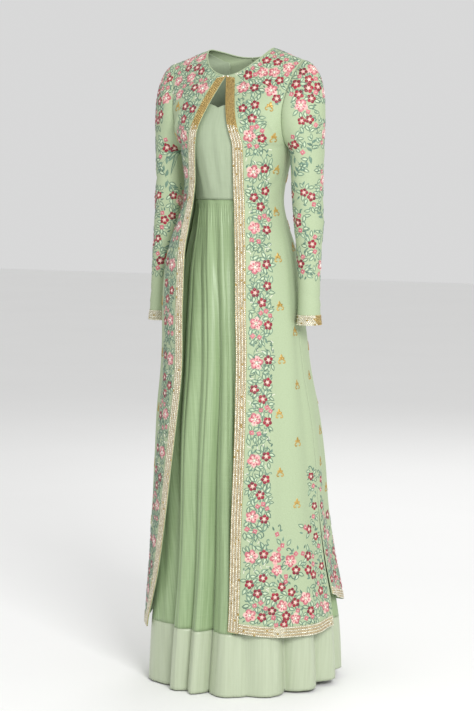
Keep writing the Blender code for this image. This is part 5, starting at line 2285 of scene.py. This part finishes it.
@dataclass(frozen=True)
class StitchedFinish:
    """Floss laid in satin stitch: each shape in its own shade, with the stitches showing across it."""

    name: str
    deep: str
    bright: str
    roughness: float = 0.42
    metallic: float = 0.0
    stitch: float = 0.0011
    sheen: float = 0.25
    # How far the grooves between stitches are painted darker: painted shade.
    shadow: float = 0.22
    relief: float = 0.0003

    def make(self) -> bpy.types.Material:
        """Make the material."""
        surface = Surface(self.name)
        add = surface.add_node
        deep, bright = linear(self.deep), linear(self.bright)
        thread = add("Attribute", {}, "Vector", attribute_name="thread")
        across, along, tone = add("SeparateXYZ", {0: thread}).node.outputs
        shade = add("MapRange", dict(zip(RANGE, (tone, 0.0, 1.0, 0.08, 0.92))))
        colour = add("Mix", dict(zip(MIX, (shade, deep, bright))), 2, data_type="RGBA")
        flat = add("CombineXYZ", {0: across, 1: along})
        # Real floss lies about 0.4 mm apart; it is drawn coarser so that it shows.
        bands = {"Vector": flat, "Scale": 0.16 / self.stitch, "Distortion": 1.2, "Detail": 1.0}
        stitches = add("TexWave", bands, "Fac", bands_direction="DIAGONAL")
        # Painted shade: the colour is darkened towards the deep one in the grooves between stitches.
        painted_groove_shade = add("Mix", dict(zip(MIX, (self.shadow, colour, deep))), 2, data_type="RGBA")
        stitched = add("Mix", dict(zip(MIX, (stitches, painted_groove_shade, colour))), 2, data_type="RGBA")
        normal = add("Bump", {"Strength": 0.5, "Distance": self.relief, "Height": stitches})
        return surface.finish({
            "Base Color": stitched, "Normal": normal, "Roughness": self.roughness, "Metallic": self.metallic,
            "Sheen Weight": self.sheen,
        })


@dataclass(frozen=True)
class BeadFinish:
    """Glass or metal beads and sequins, each in its own shade."""

    name: str
    deep: str
    bright: str
    roughness: float
    metallic: float
    coat: float = 0.3
    coat_roughness: float = 0.15
    grain: float = 420.0

    def make(self) -> bpy.types.Material:
        """Make the material."""
        surface = Surface(self.name)
        add = surface.add_node
        thread = add("Attribute", {}, "Vector", attribute_name="thread")
        shade = add("SeparateXYZ", {0: thread}, 2)
        where = add("TexCoord", {}, "Object")
        grain = add("TexNoise", {"Vector": where, "Scale": self.grain, "Detail": 1.0}, "Fac")
        rough = (grain, 0.3, 0.7, self.roughness - 0.07, self.roughness + 0.09)
        shades = (shade, linear(self.deep), linear(self.bright))
        return surface.finish({
            "Base Color": add("Mix", dict(zip(MIX, shades)), 2, data_type="RGBA"),
            "Roughness": add("MapRange", dict(zip(RANGE, rough))), "Metallic": self.metallic,
            "Coat Weight": self.coat, "Coat Roughness": self.coat_roughness,
        })


# Raw silk dupion, woven from uneven thread: a soft lustre with fine streaks, mostly along the warp.
SILK = WovenFinish(
    name="raw_silk_dupion_woven", deep="7B9067", body="90A67C", bright="A1B68D", roughness=0.42, sheen=0.30,
    sheen_roughness=0.35, sheen_tint="E6F0DA", warp=0.0030, weft=0.0030, streak=40.0, weft_share=0.18, bump=0.16,
)
# The same silk over the bodice lining: drawn smooth over the body, so it is more even; its colour is painted paler
# than the skirt's, a painted light.
SMOOTH_SILK_PAINTED_PALER = WovenFinish(
    name="raw_silk_dupion_lined", deep="9BAA8D", body="A2B094", bright="A9B79B", roughness=0.46, sheen=0.30,
    sheen_roughness=0.35, sheen_tint="E6F0DA", warp=0.0040, weft=0.0030, streak=14.0, weft_share=0.30, bump=0.06,
)
# Silk satin of the hem band: the floats lie flat, so it is smoother than the skirt; its colour is paler.
SATIN = WovenFinish(
    name="silk_satin_woven", deep="A9B398", body="B0BAA0", bright="B8C2A8", roughness=0.34, sheen=0.25,
    sheen_roughness=0.30, sheen_tint="F0F5E4", warp=0.0050, weft=0.0034, streak=30.0, weft_share=0.10, bump=0.05,
)
# Crepe of the jacket: tightly twisted thread gives a dry matte face with a fine pebble.
CREPE = WovenFinish(
    name="silk_crepe_woven", deep="9DAD8A", body="A6B594", bright="AEBD9C", roughness=0.74, sheen=0.16,
    sheen_roughness=0.50, sheen_tint="E4EED2", warp=0.0016, weft=0.0016, streak=2.2, weft_share=1.0, bump=0.25,
    specular=0.22,
)
# Ground strip under the beads: tissue woven with metal thread, mostly covered.
TISSUE = WovenFinish(
    name="gold_tissue_woven", deep="BBA672", body="CBB98A", bright="DAC9A0", roughness=0.48, sheen=0.10,
    sheen_roughness=0.40, sheen_tint="F3E6C0", warp=0.0012, weft=0.0012, streak=3.0, weft_share=1.0, bump=0.35,
)
# Embroidery floss: untwisted silk laid in satin and stem stitch, with a soft lustre along the stitches.
FLOSS_COLOURS = (
    (Thread.ROSE, "B25C66", "CC7F84"), (Thread.BLUSH, "D8A09C", "E8BFB6"), (Thread.WINE, "6A0420", "A80F30"),
    (Thread.LEAF, "486656", "6F8F7B"), (Thread.MINT, "A9BF9B", "C8D9BB"),
)
THREAD_FINISHES = {
    **{thread: StitchedFinish(thread.value, deep, bright) for thread, deep, bright in FLOSS_COLOURS},
    # White silk with little twist: the brightest strokes and knots.
    Thread.PALE: StitchedFinish(Thread.PALE.value, "E6DDD2", "FBF8F2", roughness=0.30),
    # Gilt zari: flattened metal thread wound on silk and dulled with age, so it glints softly.
    Thread.GOLD: StitchedFinish(Thread.GOLD.value, "A5853F", "C7A65C", roughness=0.40, metallic=0.35, sheen=0.0),
}
BEAD_FINISHES = {
    # Gilt glass bugle beads: metal-lined, so they glint like polished gold.
    "gold": BeadFinish("gilt_bugle_beads", "AE9459", "C6AD6D", roughness=0.34, metallic=0.75),
    # Cream sequins, painted silvery with a soft sparkle: partly their own cream, partly a painted reflection of the
    # light they caught.
    "silver": BeadFinish("silver_lined_cream_sequins", "CDC9B2", "EFEDDC", roughness=0.24, metallic=0.35),
    # Champagne-lined seed beads between the sequin rows.
    "champagne": BeadFinish("champagne_lined_seed_beads", "BBA785", "D8C9AA", roughness=0.28, metallic=0.30),
    # Glass pearls at the neck: coated glass with a clear surface.
    "pearl": BeadFinish("glass_pearl_bead", "EDE6D8", "FBF8F0", roughness=0.22, metallic=0.0, coat=0.6),
}


# ---------------------------------------------------------------- the jacket's neckline


@dataclass
class NeckBinding:
    """The narrow rolled edge of the jacket's neckline."""

    pieces: Pieces
    crepe: bpy.types.Material
    radius: float = 0.0014
    sides: int = 8
    spaces: int = 150
    lift: float = 0.0004

    def build(self, jacket: Jacket) -> None:
        """Roll the edge from one front corner round the back to the other.

        Args:
            jacket: The jacket, once its sheets are made.
        """
        left, back = jacket.sheets["front_left"], jacket.sheets["back"]
        front_edge = left.grid[jacket.neck_rows["left"] :: -1, 0]
        back_edge = back.grid[1 : int(np.argmax(back.sewn())) + 1, back.half]
        half = np.vstack([front_edge, back_edge])
        half[-1, 0] = 0.0
        half[0, 0] = self.radius
        whole = np.vstack([half, half[-2::-1] * MIRROR])
        line = evenly(whole, self.spaces)
        along = unit(np.gradient(line, axis=0))
        out = unit(np.stack([-line[:, 0], -(line[:, 1] - 0.004), np.full(len(line), 0.03)], axis=1))
        out = unit(out - along * np.sum(out * along, axis=1, keepdims=True))
        side = np.cross(along, out)
        line = line + out * (self.radius + self.lift)
        turns = np.arange(self.sides) * 2 * np.pi / self.sides
        ring = out[:, None] * np.cos(turns)[None, :, None] + side[:, None] * np.sin(turns)[None, :, None]
        points = line[:, None] + ring * self.radius
        faces = grid_faces(len(line), self.sides, True)
        piece = mesh_object("jacket_neck_binding_roll", points.reshape(-1, 3), faces, self.crepe)
        along_roll = np.repeat(np.linspace(0.0, row_length(whole), len(line)), self.sides)
        keep_threads(piece, np.stack([np.tile(turns * self.radius, len(line)), along_roll], axis=1))
        self.pieces.add(piece, "jacket_crepe", "jacket_neck_binding")


# ---------------------------------------------------------------- the studio


@dataclass(frozen=True)
class Studio:
    """Pale floor, soft lights and the camera at the photograph's viewing angle."""

    azimuth: float = 30.0
    distance: float = 4.6
    camera_height: float = 1.15
    pitch: float = 5.345
    lens: float = 106.03
    shift_x: float = -2.0 / 711.0
    sensor: float = 36.0
    floor_gap: float = 0.002
    floor_reach: float = 14.0
    ambient: float = 0.69
    aim: tuple[float, float, float] = (0.0, 0.0, -0.6)

    def build(self) -> None:
        """Make the floor, the lights, the world and the camera."""
        self.floor()
        self.lights()
        self.camera()

    def floor(self) -> None:
        """Lay the floor just under the hem."""
        low = CAD_BOX[0].z - self.floor_gap
        mesh = bpy.data.meshes.new("studio_floor")
        reach = self.floor_reach
        corners = [(-reach, -reach, low), (reach, -reach, low), (reach, reach, low), (-reach, reach, low)]
        mesh.from_pydata(corners, [], [(0, 1, 2, 3)])
        floor = bpy.data.objects.new("studio_floor", mesh)
        bpy.context.scene.collection.objects.link(floor)
        # Uncoated studio paper off the roll: pale, even and without gloss.
        surface = Surface("matte_paper_sweep")
        where = surface.add_node("TexCoord", {}, "Object")
        grain = surface.add_node("TexNoise", {"Vector": where, "Scale": 2.0}, "Fac")
        shades = dict(zip(MIX, (grain, linear("F4F4F3"), linear("F7F7F6"))))
        paper = surface.add_node("Mix", shades, 2, data_type="RGBA")
        mesh.materials.append(surface.finish({"Base Color": paper, "Roughness": 0.9}))

    def lights(self) -> None:
        """Hang a large soft key, a fill and a back light in a pale room."""
        world = bpy.data.worlds.new("pale_room")
        bpy.context.scene.world = world
        world.use_nodes = True
        background = world.node_tree.nodes["Background"]
        background.inputs[0].default_value = linear("FFFFFF")
        background.inputs[1].default_value = self.ambient
        bpy.context.scene.view_settings.view_transform = "Standard"
        for name, place, size, energy in (
            ("key", (3.1, -2.9, 1.3), 1.4, 155.0),
            ("fill", (-2.4, -3.2, 0.8), 2.4, 4.0),
            ("back", (-0.8, 3.2, 1.6), 2.0, 30.0),
        ):
            light = bpy.data.lights.new(name, "AREA")
            light.energy = energy
            light.size = size
            lamp = bpy.data.objects.new(name, light)
            lamp.location = place
            lamp.rotation_euler = (Vector(self.aim) - Vector(place)).to_track_quat("-Z", "Y").to_euler()
            bpy.context.scene.collection.objects.link(lamp)

    def camera(self) -> None:
        """Set up the camera."""
        data = bpy.data.cameras.new("camera")
        data.lens = self.lens
        data.sensor_width = self.sensor
        data.shift_x = self.shift_x
        camera = bpy.data.objects.new("camera", data)
        turn = math.radians(self.azimuth)
        height = self.camera_height - FORM.shoulder_height
        camera.location = (self.distance * math.sin(turn), -self.distance * math.cos(turn), height)
        camera.rotation_euler = (math.radians(90.0 - self.pitch), 0.0, turn)
        bpy.context.scene.collection.objects.link(camera)
        bpy.context.scene.camera = camera


def main() -> None:
    """Build the garment's looks in order and report each piece."""
    logging.basicConfig(level=logging.INFO, format="%(name)s: %(message)s")
    pieces = Pieces()
    Studio().build()
    crepe = CREPE.make()
    threads = {thread: finish.make() for thread, finish in THREAD_FINISHES.items()}
    Gown(pieces, SILK.make(), SMOOTH_SILK_PAINTED_PALER.make(), SATIN.make()).build()
    jacket = Jacket(pieces, crepe)
    jacket.build()
    NeckBinding(pieces, crepe).build(jacket)
    beading = Beading(pieces, TISSUE.make(), {name: finish.make() for name, finish in BEAD_FINISHES.items()})
    # The silvery stretches along the hem are a painted reflection where the sequins caught the light.
    hem_runs = (
        (0.0, BeadRun.CREAM), (0.075, BeadRun.SILVER), (0.105, BeadRun.CREAM), (0.232, BeadRun.SILVER),
        (0.250, BeadRun.CREAM),
    )
    for side in Side:
        name = side.name.lower()
        front = jacket.sheets[f"front_{name}"]
        beading.edge_band(name, front, jacket.neck_rows[name])
        beading.hem_band(name, front, jacket.band_width / float(front.widths[-1]), 0.995, hem_runs)
        beading.cuff(name, jacket.sheets[f"sleeve_{name}"])
    back_runs = hem_runs + tuple((0.26 + start, run) for start, run in hem_runs)
    beading.hem_band("back", jacket.sheets["back"], 0.005, 0.995, back_runs)
    Embroidery(pieces, threads).build(jacket)
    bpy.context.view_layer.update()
    LOG.info("%d pieces, %d triangles", len(pieces.made), pieces.triangles())


if __name__ == "__main__":
    main()
